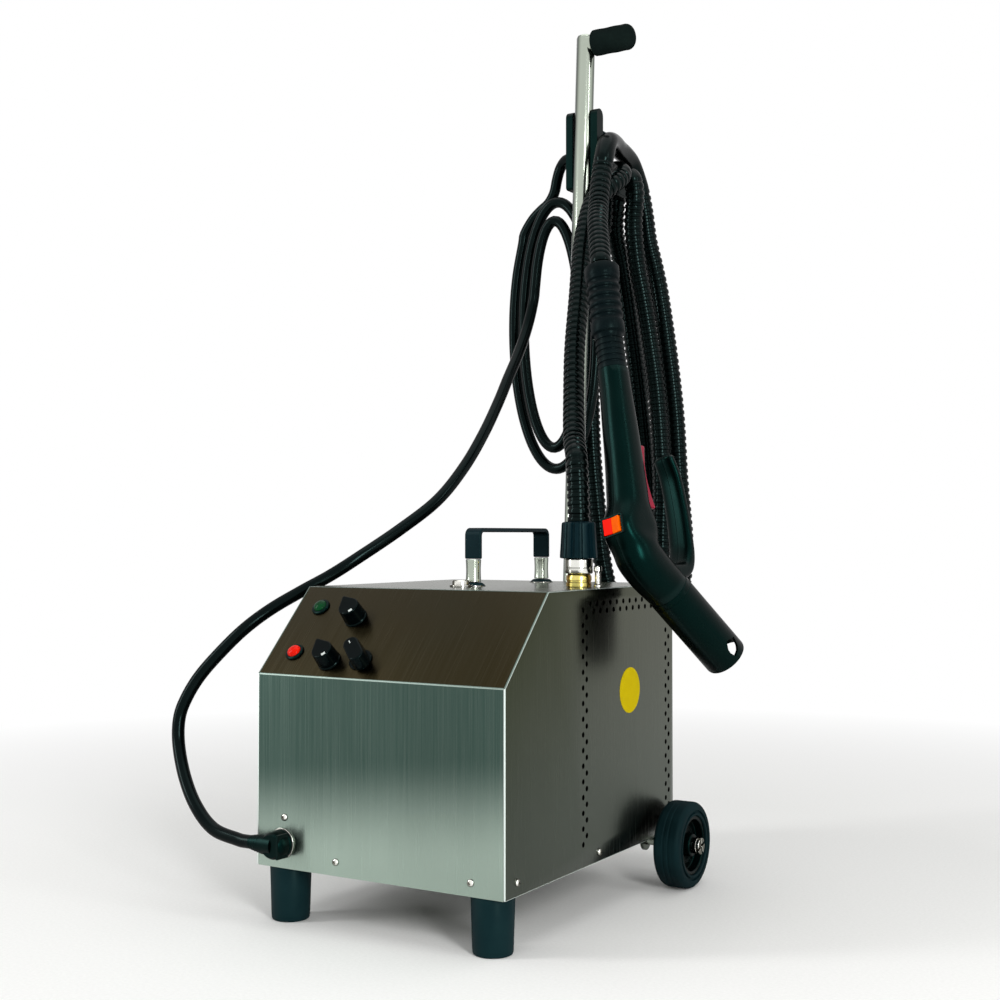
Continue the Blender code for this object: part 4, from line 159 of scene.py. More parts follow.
HOSE_ROUTE = [
    (0.0982, 0.2140, 0.4470), (0.0812, 0.2400, 0.4740), (0.0650, 0.2700, 0.5170),
    (0.0503, 0.3000, 0.5750), (0.0396, 0.3300, 0.6360), (0.0288, 0.3600, 0.6976),
    (0.0245, 0.3820, 0.7375), (0.0250, 0.4000, 0.7638), (0.0352, 0.4200, 0.7830),
    (0.0378, 0.4400, 0.7960), (0.0330, 0.4530, 0.8060), (0.0195, 0.4610, 0.8112),
    (0.0035, 0.4690, 0.8065), (0.0000, 0.4740, 0.7850), (-0.0060, 0.4810, 0.7540),
    (-0.0160, 0.4855, 0.7188), (-0.0225, 0.4870, 0.6700), (-0.0245, 0.4850, 0.6100),
    (-0.0240, 0.4820, 0.5470), (-0.0210, 0.4800, 0.4760), (-0.0140, 0.4800, 0.4000),
    (-0.0080, 0.4820, 0.3400), (0.0010, 0.4870, 0.3000), (0.0180, 0.4960, 0.2780),
    (0.0385, 0.5070, 0.2860), (0.0520, 0.5150, 0.3200), (0.0550, 0.5166, 0.3800),
    (0.0560, 0.5156, 0.4500), (0.0502, 0.5150, 0.5430), (0.0420, 0.5121, 0.6100),
    (0.0368, 0.5046, 0.6610), (0.0322, 0.4965, 0.7037), (0.0322, 0.4870, 0.7488),
    (0.0378, 0.4800, 0.7830), (0.0335, 0.4815, 0.8035), (0.0195, 0.4905, 0.8112),
    (0.0034, 0.4990, 0.8068), (0.0005, 0.5035, 0.7830), (-0.0095, 0.5210, 0.7525),
    (-0.0100, 0.5405, 0.7141), (-0.0024, 0.5462, 0.6500), (0.0104, 0.5478, 0.5500),
    (0.0206, 0.5468, 0.4500), (0.0240, 0.5462, 0.3600), (0.0268, 0.5450, 0.3050),
    (0.0360, 0.5430, 0.2720), (0.0480, 0.5400, 0.2660), (0.0620, 0.5400, 0.2820),
    (0.0715, 0.5400, 0.3150), (0.0745, 0.5400, 0.3670), (0.0678, 0.5410, 0.4410),
    (0.0626, 0.5420, 0.5190), (0.0545, 0.5420, 0.5900), (0.0433, 0.5420, 0.6650),
    (0.0352, 0.5420, 0.7047), (0.0278, 0.5390, 0.7394), (0.0250, 0.5360, 0.7684),
    (0.0215, 0.5330, 0.7950), (0.0192, 0.5235, 0.8160), (0.0186, 0.5075, 0.8320),
    (0.0210, 0.4840, 0.8368), (0.0250, 0.4600, 0.8372), (0.0310, 0.4370, 0.8365),
    (0.0370, 0.4150, 0.8330), (0.0415, 0.3980, 0.8260), (0.0440, 0.3860, 0.8100),
    (0.0445, 0.3770, 0.7850), (0.0500, 0.3590, 0.7469), (0.0640, 0.3290, 0.7159),
]
KEEPER_ROUTE = [
    (0.0155, 0.4400, 0.8535), (0.0175, 0.4700, 0.8525), (0.0185, 0.5000, 0.8492),
    (0.0190, 0.5265, 0.8395),
]


# Frames and curves

def at(x, y, z):
    return Matrix.Translation((x, y, z))


def turned(degrees, axis):
    return Matrix.Rotation(math.radians(degrees), 4, axis)


def columns(x_axis, y_axis, z_axis, place=(0, 0, 0)):
    """Frame at a place from its three axes."""
    made = Matrix((x_axis, y_axis, z_axis)).transposed().to_4x4()
    return Matrix.Translation(place) @ made


SIDE_ON = columns((0, 1, 0), (0, 0, 1), (1, 0, 0))


def arc(centre, radius, start_degrees, end_degrees, steps=10):
    points = []
    for step in range(steps + 1):
        angle = math.radians(start_degrees + (end_degrees - start_degrees) * step / steps)
        points.append((centre[0] + radius * math.cos(angle), centre[1] + radius * math.sin(angle)))
    return points


def spline(rows, parts):
    """Rows of numbers on a smooth curve through the given rows."""
    rows = [Vector(row) for row in rows]
    padded = [2 * rows[0] - rows[1]] + rows + [2 * rows[-1] - rows[-2]]
    fine = []
    for index in range(len(rows) - 1):
        before, start, end, after = padded[index:index + 4]
        for part in range(parts):
            t = part / parts
            fine.append(0.5 * (
                2 * start + (end - before) * t
                + (2 * before - 5 * start + 4 * end - after) * t ** 2
                + (3 * start - before - 3 * end + after) * t ** 3
            ))
    fine.append(rows[-1])
    return fine


def length_of(points):
    return sum((after - before).length for before, after in zip(points, points[1:]))


def points_at(points, distances):
    """Points at rising distances along a line of points."""
    found = []
    travelled = 0.0
    index = 0
    run = (points[1] - points[0]).length
    for distance in distances:
        while distance > travelled + run and index < len(points) - 2:
            travelled += run
            index += 1
            run = (points[index + 1] - points[index]).length
        share = min(max((distance - travelled) / run, 0), 1)
        found.append(points[index].lerp(points[index + 1], share))
    return found


def even(points, step):
    whole = length_of(points)
    count = max(2, round(whole / step))
    return points_at(points, [whole * index / count for index in range(count + 1)])


# Meshes

def shell(rings, looped=False):
    """Mesh through rings of points, capped at both ends or looped back to its first ring."""
    bm = bmesh.new()
    made = [[bm.verts.new(point) for point in ring] for ring in rings]
    count = len(made[0])
    for low, high in list(zip(made, made[1:])) + ([(made[-1], made[0])] if looped else []):
        for side in range(count):
            after = (side + 1) % count
            bm.faces.new((low[side], low[after], high[after], high[side]))
    if not looped:
        bm.faces.new(list(reversed(made[0])))
        bm.faces.new(made[-1])
    bmesh.ops.remove_doubles(bm, verts=bm.verts, dist=1e-6)
    bmesh.ops.recalc_face_normals(bm, faces=bm.faces)
    return bm


def round_ring(radius, height, sides):
    return [
        (radius * math.cos(2 * math.pi * side / sides), radius * math.sin(2 * math.pi * side / sides), height)
        for side in range(sides)
    ]


def lathe(profile, sides=64):
    """Turned piece from (radius, height) points; one that keeps off the axis is a ring."""
    return shell([round_ring(radius, height, sides) for radius, height in profile], profile[0][0] > 0)


def prism(outline, low, high):
    bm = bmesh.new()
    floor = [bm.verts.new((x, y, low)) for x, y in outline]
    roof = [bm.verts.new((x, y, high)) for x, y in outline]
    bm.faces.new(list(reversed(floor)))
    bm.faces.new(roof)
    for index in range(len(outline)):
        after = (index + 1) % len(outline)
        bm.faces.new((floor[index], floor[after], roof[after], roof[index]))
    bmesh.ops.recalc_face_normals(bm, faces=bm.faces)
    return bm


def block(low, high):
    outline = [(low[0], low[1]), (high[0], low[1]), (high[0], high[1]), (low[0], high[1])]
    return prism(outline, low[2], high[2])


def tube(points, radii, sides):
    """Tube along points with a radius at each, turned as little as its bends allow."""
    rings = []
    side = (points[1] - points[0]).orthogonal().normalized()
    for index, point in enumerate(points):
        along = (points[min(index + 1, len(points) - 1)] - points[max(index - 1, 0)]).normalized()
        side = (side - along * side.dot(along)).normalized()
        up = along.cross(side)
        rings.append([point + side * x + up * y for x, y, _ in round_ring(radii[index], 0, sides)])
    return shell(rings)


def mesh_of(name, bm):
    """Mesh data made from the working mesh, which is freed."""
    data = bpy.data.meshes.new(name)
    bm.to_mesh(data)
    bm.free()
    return data


def add_object(name, data):
    item = bpy.data.objects.new(name, data)
    bpy.context.scene.collection.objects.link(item)
    return item


def merged(*parts):
    """One mesh of several, which may reach into each other as welded or moulded pieces do."""
    bm = bmesh.new()
    for part in parts:
        data = mesh_of("part", part)
        bm.from_mesh(data)
        bpy.data.meshes.remove(data)
    return bm


def moved(bm, place):
    bm.transform(place)
    if place.determinant() < 0:
        bmesh.ops.reverse_faces(bm, faces=bm.faces)
    return bm


def carved(bm, cutter, operation="DIFFERENCE"):
    """The mesh with the cutter's room taken out of it, or with the other mesh fused on."""
    items = [add_object("carving", mesh_of("carving", made)) for made in (bm, cutter)]
    modifier = items[0].modifiers.new("cut", "BOOLEAN")
    modifier.operation = operation
    modifier.solver = "EXACT"
    modifier.object = items[1]
    bpy.context.view_layer.update()
    graph = bpy.context.evaluated_depsgraph_get()
    result = bmesh.new()
    data = bpy.data.meshes.new_from_object(items[0].evaluated_get(graph))
    result.from_mesh(data)
    bpy.data.meshes.remove(data)
    for item in items:
        data = item.data
        bpy.data.objects.remove(item, do_unlink=True)
        bpy.data.meshes.remove(data)
    return result


FINISHES = {}
SHARP_FROM = math.radians(32)


def soften(item, width, steps=2):
    """Rounded edges, as bending, moulding or deburring leaves them."""
    modifier = item.modifiers.new("rounded_edges", "BEVEL")
    modifier.width = width
    modifier.segments = steps
    modifier.limit_method = "ANGLE"
    modifier.angle_limit = SHARP_FROM
    modifier.harden_normals = True


def piece(name, bm, finish, place=Matrix.Identity(4), body="cleaner", stands_for=(), edge=0.0, steps=2):
    """Adds a visible piece: its mesh, finish, body, and the CAD nodes that it stands for."""
    names = [finish] if isinstance(finish, str) else finish
    data = mesh_of(name, moved(bm, Matrix.Translation(HOME) @ place))
    data.shade_smooth()
    data.set_sharp_from_angle(angle=SHARP_FROM)
    for each in names:
        data.materials.append(FINISHES[each][0])
    made = add_object(name, data)
    if edge:
        soften(made, edge, steps)
    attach(made, body)
    if stands_for:
        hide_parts(*stands_for)
    return made


def dress(node, finish, edge=0.0):
    """Gives a carried-over CAD node its finish and its rounded edges."""
    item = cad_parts[node]
    for place in item.material_slots:
        place.material = FINISHES[finish][0]
    if edge:
        soften(item, edge)


# Finishes

# The range in which nearly all values of a noise pattern lie
NOISE_SPAN = (0.3, 0.7)
# Real scratches and lathe lines are about 0.1 mm wide; both are drawn coarser, so that they show
SCRATCH_MM = 1.0
LATHE_LINE_MM = 0.7
RIM_GLOSS_SHARE = 0.12


def colour(text):
    """An sRGB hex colour as the linear values that shaders take."""
    parts = [int(text[index:index + 2], 16) / 255 for index in (1, 3, 5)]
    linear = [part / 12.92 if part <= 0.04045 else ((part + 0.055) / 1.055) ** 2.4 for part in parts]
    return (*linear, 1)


def per_metre(millimetres):
    """Texture scale whose features are this many millimetres across."""
    return 1000 / millimetres


def add_node(tree, kind, inputs=(), **settings):
    """Adds a node with its settings, and a value or a link for each input; gives its outputs."""
    made = tree.nodes.new("ShaderNode" + kind)
    for name, value in settings.items():
        setattr(made, name, value)
    for key, value in inputs.items() if isinstance(inputs, dict) else enumerate(inputs):
        if isinstance(value, bpy.types.NodeSocket):
            tree.links.new(value, made.inputs[key])
        else:
            made.inputs[key].default_value = value
    return made.outputs


def start_finish(name, slot, **values):
    """New material on its own shader, whose uniform values are set on the shader's sockets."""
    made = bpy.data.materials.new(name)
    made.use_nodes = True
    tree = made.node_tree
    shader = tree.nodes["Principled BSDF"]
    for key, value in values.items():
        shader.inputs[key.replace("_", " ")].default_value = value
    FINISHES[name] = (made, slot)
    return tree, shader


def grain(tree, size_mm, stretch=(1, 1, 1), detail=3.0):
    """Noise whose features have a real size, drawn out along the axes with a smaller stretch."""
    here = add_node(tree, "TexCoord")["Object"]
    drawn = add_node(tree, "Mapping", {"Vector": here, "Scale": stretch})["Vector"]
    return add_node(tree, "TexNoise", {"Vector": drawn, "Scale": per_metre(size_mm), "Detail": detail})["Fac"]


def tinted(tree, base, tint, pattern, amount, span=NOISE_SPAN, curve="LINEAR"):
    """The base colour, with a tint over it that grows to the amount where the pattern is high."""
    share = add_node(tree, "MapRange", (pattern, *span, 0, amount), interpolation_type=curve)[0]
    return add_node(tree, "Mix", {0: share, 6: base, 7: colour(tint)}, data_type="RGBA")[2]


def lay_on(tree, shader, tone, rough=None, relief=None, **links):
    """Links a finish to its shader.

    Rough is a pattern and the roughness at its low and high places. Relief is a pattern, its real
    depth in millimetres and its strength.
    """
    links["Base_Color"] = tone
    if rough:
        pattern, low, high = rough
        links["Roughness"] = add_node(tree, "MapRange", (pattern, *NOISE_SPAN, low, high))[0]
    if relief:
        pattern, depth_mm, strength = relief
        bump = {"Height": pattern, "Distance": depth_mm / 1000, "Strength": strength}
        links["Normal"] = add_node(tree, "Bump", bump)["Normal"]
    for key, value in links.items():
        tree.links.new(value, shader.inputs[key.replace("_", " ")])


def brushed_stainless(name, low_reflection_tone, high_reflection_tone, low_z, high_z, grain_axis, bright=0.05):
    """Stainless sheet, linished along its height.

    The fine scratches smear what the sheet mirrors up and down. They run at right angles to the grain
    axis. The base colour carries a painted reflection: pale near the floor and darker towards the top,
    where it stands in for the mirrored room.
    """
    tree, shader = start_finish(name, "brushed_steel", Metallic=1.0, Anisotropic=0.8)
    upward = add_node(tree, "CombineXYZ", (0, 0.03, 1.0))["Vector"]
    here = add_node(tree, "SeparateXYZ", [add_node(tree, "TexCoord")["Object"]])
    height = add_node(tree, "Math", (here["X"], -0.10, here["Z"]), operation="MULTIPLY_ADD")[0]
    streaks = grain(tree, SCRATCH_MM, [1.0 if axis == grain_axis else 0.010 for axis in "XYZ"], 4.0)
    clouds = grain(tree, 90, (1, 1, 0.5), 2.0)
    # Painted reflection: the pale low tone near the floor turns to the darker high tone towards the top
    tone = tinted(tree, colour(low_reflection_tone), high_reflection_tone, height, 1, (low_z, high_z), "SMOOTHSTEP")
    tone = tinted(tree, tone, "#c9cfc4", streaks, bright)
    tone = tinted(tree, tone, "#26302a", clouds, 0.14)
    lay_on(tree, shader, tone, (streaks, 0.22, 0.28), (streaks, 0.01, 0.25), Tangent=upward)


def polished_stainless(name, tone, painted_rim_tone, rim_from, rim_to):
    """Tube and turned parts, polished: mirrors, with a painted reflection that darkens them towards their
    rims, standing in for the dark of the room.
    """
    tree, shader = start_finish(name, "bright_steel", Metallic=1.0)
    smears = grain(tree, 40, (1, 1, 0.4), 5.0)
    lines = grain(tree, 0.8, (1, 1, 0.05), 2.0)
    facing = add_node(tree, "LayerWeight", {"Blend": 0.5})["Facing"]
    # Painted reflection: the tone darkens to the rim tone towards the rims as seen
    mirror_with_painted_rims = tinted(tree, colour(tone), painted_rim_tone, facing, 1, (rim_from, rim_to), "SMOOTHSTEP")
    worn = tinted(tree, mirror_with_painted_rims, "#9aa69a", smears, 0.18)
    lay_on(tree, shader, worn, (smears, 0.10, 0.20), (lines, 0.01, 0.3))


def folded_edge(name, upright_tone, sloping_tone):
    """Folds and sheared rims with a painted highlight: palest where they stand upright at the corners, darker
    where they face up.
    """
    tree, shader = start_finish(name, "bright_steel", Metallic=1.0, Roughness=0.38)
    normal = add_node(tree, "NewGeometry")["Normal"]
    up = add_node(tree, "SeparateXYZ", [normal])["Z"]
    # Painted highlight: palest where a face stands upright, the sloping tone where it faces up
    lay_on(tree, shader, tinted(tree, colour(upright_tone), sloping_tone, up, 1, (0.1, 0.5)))


def moulded_black(
    name, slot, tone, sheen_tone, rough_low, rough_high, pebble_mm, pebble_depth_mm, shine, glow="#a8d8d4",
):
    """Moulded black plastic or rubber: near black, with a fine cast texture and scuffed corners.

    Its gloss fades towards the rims, so that the rims stay black against a white room.
    """
    tree, shader = start_finish(name, slot, IOR=1.5, Specular_Tint=colour(glow))
    facing = add_node(tree, "LayerWeight", {"Blend": 0.5})["Facing"]
    gloss = add_node(tree, "MapRange", (facing, 0.20, 0.75, shine, shine * RIM_GLOSS_SHARE))[0]
    patches = grain(tree, 28, detail=4.0)
    pebbles = grain(tree, pebble_mm, detail=2.0)
    worn = add_node(tree, "NewGeometry")["Pointiness"]
    skin = tinted(tree, colour(tone), sheen_tone, patches, 0.8)
    scuffed = tinted(tree, skin, "#22302f", worn, 0.20, (0.53, 0.62))
    rough = (patches, rough_low, rough_high)
    lay_on(tree, shader, scuffed, rough, (pebbles, pebble_depth_mm, 0.6), Specular_IOR_Level=gloss)


def coloured_plastic(name, slot, tone, deep_tone, roughness, depth_mm, shine):
    """Self-coloured moulding: even colour with a faint orange-peel skin of 2 mm waves."""
    tree, shader = start_finish(name, slot, IOR=1.49, Roughness=roughness, Specular_IOR_Level=shine)
    waves = grain(tree, 2.0, detail=1.0)
    clouds = grain(tree, 9, detail=3.0)
    skin = tinted(tree, colour(tone), deep_tone, clouds, 0.7)
    lay_on(tree, shader, skin, relief=(waves, depth_mm, 0.5))


def turned_brass():
    """Brass, turned on a lathe: fine rings round it, a warm tone that tarnishes in patches, and a painted
    reflection that darkens it towards its rims.
    """
    tree, shader = start_finish("turned_brass", "brass", Metallic=1.0)
    rings = grain(tree, LATHE_LINE_MM, (0.05, 0.05, 1), 2.0)
    patches = grain(tree, 12, detail=4.0)
    facing = add_node(tree, "LayerWeight", {"Blend": 0.5})["Facing"]
    # Painted reflection: the pale brass darkens towards the rims as seen
    painted_rim_brass = tinted(tree, colour("#f0e58a"), "#70520f", facing, 1, (0.04, 0.45), "SMOOTHSTEP")
    tone = tinted(tree, painted_rim_brass, "#b0902c", patches, 0.5)
    lay_on(tree, shader, tone, (patches, 0.16, 0.30), (rings, 0.03, 0.5))


def zinc_plated_steel():
    """Zinc plating inside the housing: grey spangles about 6 mm across."""
    tree, shader = start_finish("zinc_plated_steel", "dark_metal", Metallic=1.0)
    here = add_node(tree, "TexCoord")["Object"]
    spangles = add_node(tree, "TexVoronoi", {"Vector": here, "Scale": per_metre(6)})["Distance"]
    roughness = add_node(tree, "MapRange", (spangles, 0, 1, 0.3, 0.5))[0]
    tone = tinted(tree, colour("#7b7d7a"), "#5d605d", spangles, 1, (0, 1))
    lay_on(tree, shader, tone, Roughness=roughness)


def make_finishes():
    # Linished sheets: the tone at the foot and at the top, the heights between which it changes, and
    # the axis across the scratches. The change from foot to top is a painted reflection, and the slope
    # and the sides carry a painted reflection of a darker, browner room.
    brushed_stainless("linished_front_sheet", "#9eafa4", "#3c514a", 0.072, 0.170, "X")
    brushed_stainless("linished_slope_sheet", "#2d2613", "#2b2412", 0.238, 0.318, "X", 0.010)
    brushed_stainless("linished_side_sheet", "#434a40", "#3a3d2c", 0.075, 0.300, "Y", 0.02)
    # Folds of the sheets with a painted highlight: a bright line at the corners, a duller one on the front
    # sheet
    folded_edge("bright_bent_edge", "#e9f4ee", "#65746c")
    folded_edge("painted_highlight_fold", "#93a29b", "#62706a")
    # Polished tube is a grey mirror; zinc-nickel plate on small turned parts is whiter. Both darken
    # towards their rims with a painted reflection.
    polished_stainless("polished_stainless", "#b3bbae", "#262c25", 0.22, 0.66)
    polished_stainless("plated_fitting", "#f4f3ec", "#4a4438", 0.08, 0.50)
    # Moulded blacks: slot, tone, tone of the sheen, roughness from and to, pebbles across and deep in
    # mm, gloss, and the colour of the highlight where it isn't the usual one
    for row in (
        # Feet, washers, strap and plug: dull rubber with a blue-green cast
        ("moulded_rubber", "black_rubber", "#091e22", "#102629", 0.34, 0.50, 1.2, 0.04, 0.10),
        # The gun's bend protector: smoother and blacker
        ("sleeve_rubber", "black_rubber", "#030709", "#060d10", 0.28, 0.40, 1.2, 0.03, 0.08),
        # Tyres: nearly matt
        ("tyre_rubber", "tyre_rubber", "#07171a", "#0e2225", 0.50, 0.68, 1.5, 0.06, 0.08),
        # Gun, hooks, clamps and hubs: glass-filled nylon, deep black with soft green highlights
        ("glass_filled_nylon", "black_plastic", "#010303", "#020606", 0.24, 0.32, 0.9, 0.02, 0.13, "#5fe8da"),
        # Coupling nut and carry strap: nylon with a blue-green body colour
        ("teal_black_nylon", "black_plastic", "#04161c", "#081c22", 0.30, 0.42, 0.9, 0.03, 0.12),
        # Hose: extruded nylon, each rib with a small sharp highlight
        ("hose_nylon", "hose_plastic", "#010202", "#030606", 0.15, 0.21, 0.8, 0.01, 0.14),
        # Mains lead: smooth extruded rubber, one long thin highlight
        ("lead_rubber", "cord_pvc", "#020304", "#050808", 0.14, 0.22, 1.0, 0.01, 0.13),
        # Push grip: foam with open pores, no shine
        ("soft_foam", "grip_foam", "#0a1110", "#131c1a", 0.85, 0.95, 1.1, 0.25, 0.05),
        # Knobs: polished phenolic, almost no texture
        ("glossy_knob", "black_plastic", "#010304", "#030708", 0.12, 0.22, 0.9, 0.01, 0.08),
    ):
        moulded_black(*row)
    # Coloured plastics: slot, tone, deeper tone, roughness, depth of the waves in mm, gloss. The lamps
    # are cast acrylic, the trigger and the rocker moulded ABS, the disc a matt vinyl film.
    for row in (
        # White patches on the knobs: painted highlights
        ("white_infill", "black_plastic", "#cfd6d2", "#aeb6b2", 0.45, 0.02, 0.2),
        ("green_lamp_acrylic", "lens_green", "#07401f", "#042412", 0.12, 0.04, 0.07),
        ("red_lamp_acrylic", "lens_red", "#e81a04", "#b01005", 0.14, 0.04, 0.08),
        ("trigger_abs", "trigger_red", "#8a0f2c", "#640a1f", 0.30, 0.05, 0.2),
        # The rocker is orange; its red half is painted shade
        ("rocker_red", "rocker_orange", "#ff1500", "#f01200", 0.40, 0.03, 0.06),
        ("rocker_orange", "rocker_orange", "#ff6600", "#f65c00", 0.40, 0.03, 0.06),
        ("yellow_vinyl_disc", "brushed_steel", "#bda800", "#b5a000", 0.60, 0.02, 0.03),
    ):
        coloured_plastic(*row)
    turned_brass()
    zinc_plated_steel()


# Camera, light and floor

def make_camera():
    data = bpy.data.cameras.new("photo_camera")
    data.lens = CAMERA_LENS_MM
    data.sensor_width = SENSOR_MM
    data.clip_start, data.clip_end = 0.05, 60
    camera = add_object("photo_camera", data)
    azimuth, tilt = math.radians(CAMERA_AZIMUTH), math.radians(CAMERA_TILT)
    level = math.cos(tilt)
    forward = Vector((-math.sin(azimuth) * level, math.cos(azimuth) * level, math.sin(tilt)))
    camera.location = HOME + Vector(CAMERA_PLACE)
    camera.rotation_mode = "QUATERNION"
    camera.rotation_quaternion = forward.to_track_quat("-Z", "Y")
    bpy.context.scene.camera = camera


def background_rays(tree):
    """One where a ray comes from the camera, a mirror or glass, and none where it lights."""
    path = add_node(tree, "LightPath")
    seen = add_node(tree, "Math", (path["Is Camera Ray"], path["Is Glossy Ray"]), operation="MAXIMUM")[0]
    return add_node(tree, "Math", (seen, path["Is Transmission Ray"]), operation="MAXIMUM")[0]


def area_light(name, place, aim, size, power):
    data = bpy.data.lights.new(name, "AREA")
    data.shape = "RECTANGLE"
    data.size, data.size_y = size
    data.energy = power
    lamp = add_object(name, data)
    lamp.location = place
    lamp.rotation_mode = "QUATERNION"
    lamp.rotation_quaternion = (Vector(aim) - Vector(place)).to_track_quat("-Z", "Y")


WORLD_FILL = 0.44
FLOOR_HALF = 9.0
FLOOR_CLEAR = (0.55, 1.6)


def make_studio():
    world = bpy.data.worlds.new("white_studio")
    world.use_nodes = True
    tree = world.node_tree
    strength = add_node(tree, "MapRange", (background_rays(tree), 0, 1, WORLD_FILL, 1.0))[0]
    tree.links.new(strength, tree.nodes["Background"].inputs["Strength"])
    tree.nodes["Background"].inputs["Color"].default_value = colour("#ffffff")
    bpy.context.scene.world = world
    area_light("window_left", (-1.6, -1.5, 1.20), (0, 0, 0.5), (0.35, 1.5), 18)
    area_light("window_near", (1.9, -1.5, 0.95), (0, 0.2, 0.7), (0.50, 1.4), 40)
    area_light("window_right", (2.1, -0.1, 1.5), (0, 0, 0.5), (0.15, 1.5), 5)
    area_light("ceiling", (0.0, 0.1, 2.6), (0, 0, 0), (2.4, 2.4), 16)

    # Pale seamless paper: matt and shadowed round the object, fading to plain white
    paper = bpy.data.materials.new("seamless_paper")
    paper.use_nodes = True
    tree = paper.node_tree
    shader = tree.nodes["Principled BSDF"]
    shader.inputs["Roughness"].default_value = 0.85
    shader.inputs["Specular IOR Level"].default_value = 0.2
    fibres = grain(tree, 3.0, detail=3.0)
    lay_on(tree, shader, tinted(tree, colour("#f4f4f2"), "#fafaf8", fibres, 1))
    here = add_node(tree, "TexCoord")["Object"]
    distance = add_node(tree, "VectorMath", [here], operation="LENGTH")["Value"]
    far = add_node(tree, "MapRange", (distance, *FLOOR_CLEAR, 0, 1))[0]
    clear = add_node(tree, "Math", (far, background_rays(tree)), operation="MULTIPLY")[0]
    white = add_node(tree, "Emission", {"Color": colour("#ffffff"), "Strength": 1.0})[0]
    mixed = add_node(tree, "MixShader", (clear, shader.outputs[0], white))[0]
    tree.links.new(mixed, tree.nodes["Material Output"].inputs["Surface"])
    bm = bmesh.new()
    corners = [(-1, -1), (1, -1), (1, 1), (-1, 1)]
    bm.faces.new([bm.verts.new((x * FLOOR_HALF, y * FLOOR_HALF, 0)) for x, y in corners])
    data = mesh_of("floor", bm)
    data.materials.append(paper)
    add_object("floor", data)


# Cords

def gun_frame():
    """Frame at the gun's bend: z up the grip, x to the nozzle side, y across."""
    up = (GUN_GRIP_TOP - GUN_BEND).normalized()
    nozzle = (GUN_NOZZLE_END - GUN_BEND).normalized()
    forward = (nozzle - up * nozzle.dot(up)).normalized()
    return columns(forward, up.cross(forward), up, GUN_BEND)


def gun_angle():
    return (GUN_BEND - GUN_GRIP_TOP).angle(GUN_NOZZLE_END - GUN_BEND)


def protector_shift(height):
    return PROTECTOR_LEAN * (height / PROTECTOR_LENGTH) ** 2


def hose_line():
    """Centre line of the hose from the nut to the gun's bend protector."""
    gun = gun_frame()
    end = gun @ Vector((protector_shift(PROTECTOR_LENGTH), 0, GRIP_LENGTH + PROTECTOR_LENGTH))
    away = gun.to_3x3() @ Vector((0, 0, 1))
    start = Vector((OUTLET[0], OUTLET[1], NUT_SEAT_Z + NUT_HEIGHT + GAP))
    inner = [start + Vector((0, 0, HOSE_STRAIGHT))]
    inner += [Vector(point) for point in HOSE_ROUTE]
    inner.append(end + away * HOSE_STRAIGHT)
    return [start] + spline(inner, 16) + [end + away * GAP]


def make_hose(protector):
    """Corrugated hose: rounded ribs every 8 mm, plain where it is bent over the hooks."""
    line = hose_line()
    whole = length_of(line)
    distances = []
    radii = []
    for rib in range(int(whole / HOSE_PITCH)):
        for share, swell in HOSE_RIB:
            distances.append(rib * HOSE_PITCH + share * HOSE_PITCH)
            radii.append(HOSE_ROOT_RADIUS + swell * (HOSE_RADIUS - HOSE_ROOT_RADIUS))
    distances.append(whole)
    radii.append(HOSE_RADIUS)
    centres = points_at(line, distances)
    for index, centre in enumerate(centres):
        plain = min(max((centre.z - HOSE_SMOOTH_ABOVE) / HOSE_SMOOTHING, 0), 1)
        radii[index] += (HOSE_RADIUS - radii[index]) * plain
    hose = piece("corrugated_hose", tube(centres, radii, 28), "hose_nylon", stands_for=["steam_hose"])


def coil_points():
    """The lead's hanging coil: it widens and steps to the rear a little on each turn."""
    steps, turn_steps, straight = 49, 24, 2 * CORD_RADIUS
    narrow, wide = COIL_HALF_WIDTHS
    short, tall = COIL_HALF_HEIGHTS
    points = []
    for index in range(steps + 1):
        share = index / steps
        angle = math.radians(COIL_START_DEGREES) + 2 * math.pi * index / turn_steps
        half_width = narrow + (wide - narrow) * share
        half_height = short + (tall - short) * share
        points.append(Vector((
            COIL_CENTRE[0] - COIL_SPREAD * share - half_width * math.cos(angle),
            COIL_CENTRE[1] + COIL_STEP * index / turn_steps,
            COIL_CENTRE[2] + half_height * math.sin(angle),
        )))
    first = points[0] - (points[1] - points[0]).normalized() * straight
    last = points[-1] + (points[-1] - points[-2]).normalized() * straight
    return [first] + points + [last]


def make_lead(pieces_on_it):
    face = Vector((GLAND[0] - GLAND_ARM[1] - GAP, -GLAND_REACH + GLAND_ARM[0] / 4, GLAND[1]))
    straight = face - Vector((2 * CORD_RADIUS, 0, 0))
    route = [face, straight] + [Vector(point) for point in LEAD_ROUTE] + coil_points()
    route += [Vector(point) for point in TAIL_ROUTE]
    route += [PLUG_TOP + Vector((0, 0, CORD_RADIUS)), PLUG_TOP + Vector((0, 0, GAP))]
    line = [route[0]] + spline(route[1:-1], 12) + [route[-1]]
    centres = even(line, 0.004)
    bm = tube(centres, [CORD_RADIUS] * len(centres), 24)
    lead = piece("mains_cord", bm, "lead_rubber", stands_for=["mains_lead", "mains_coil", "mains_tail"])


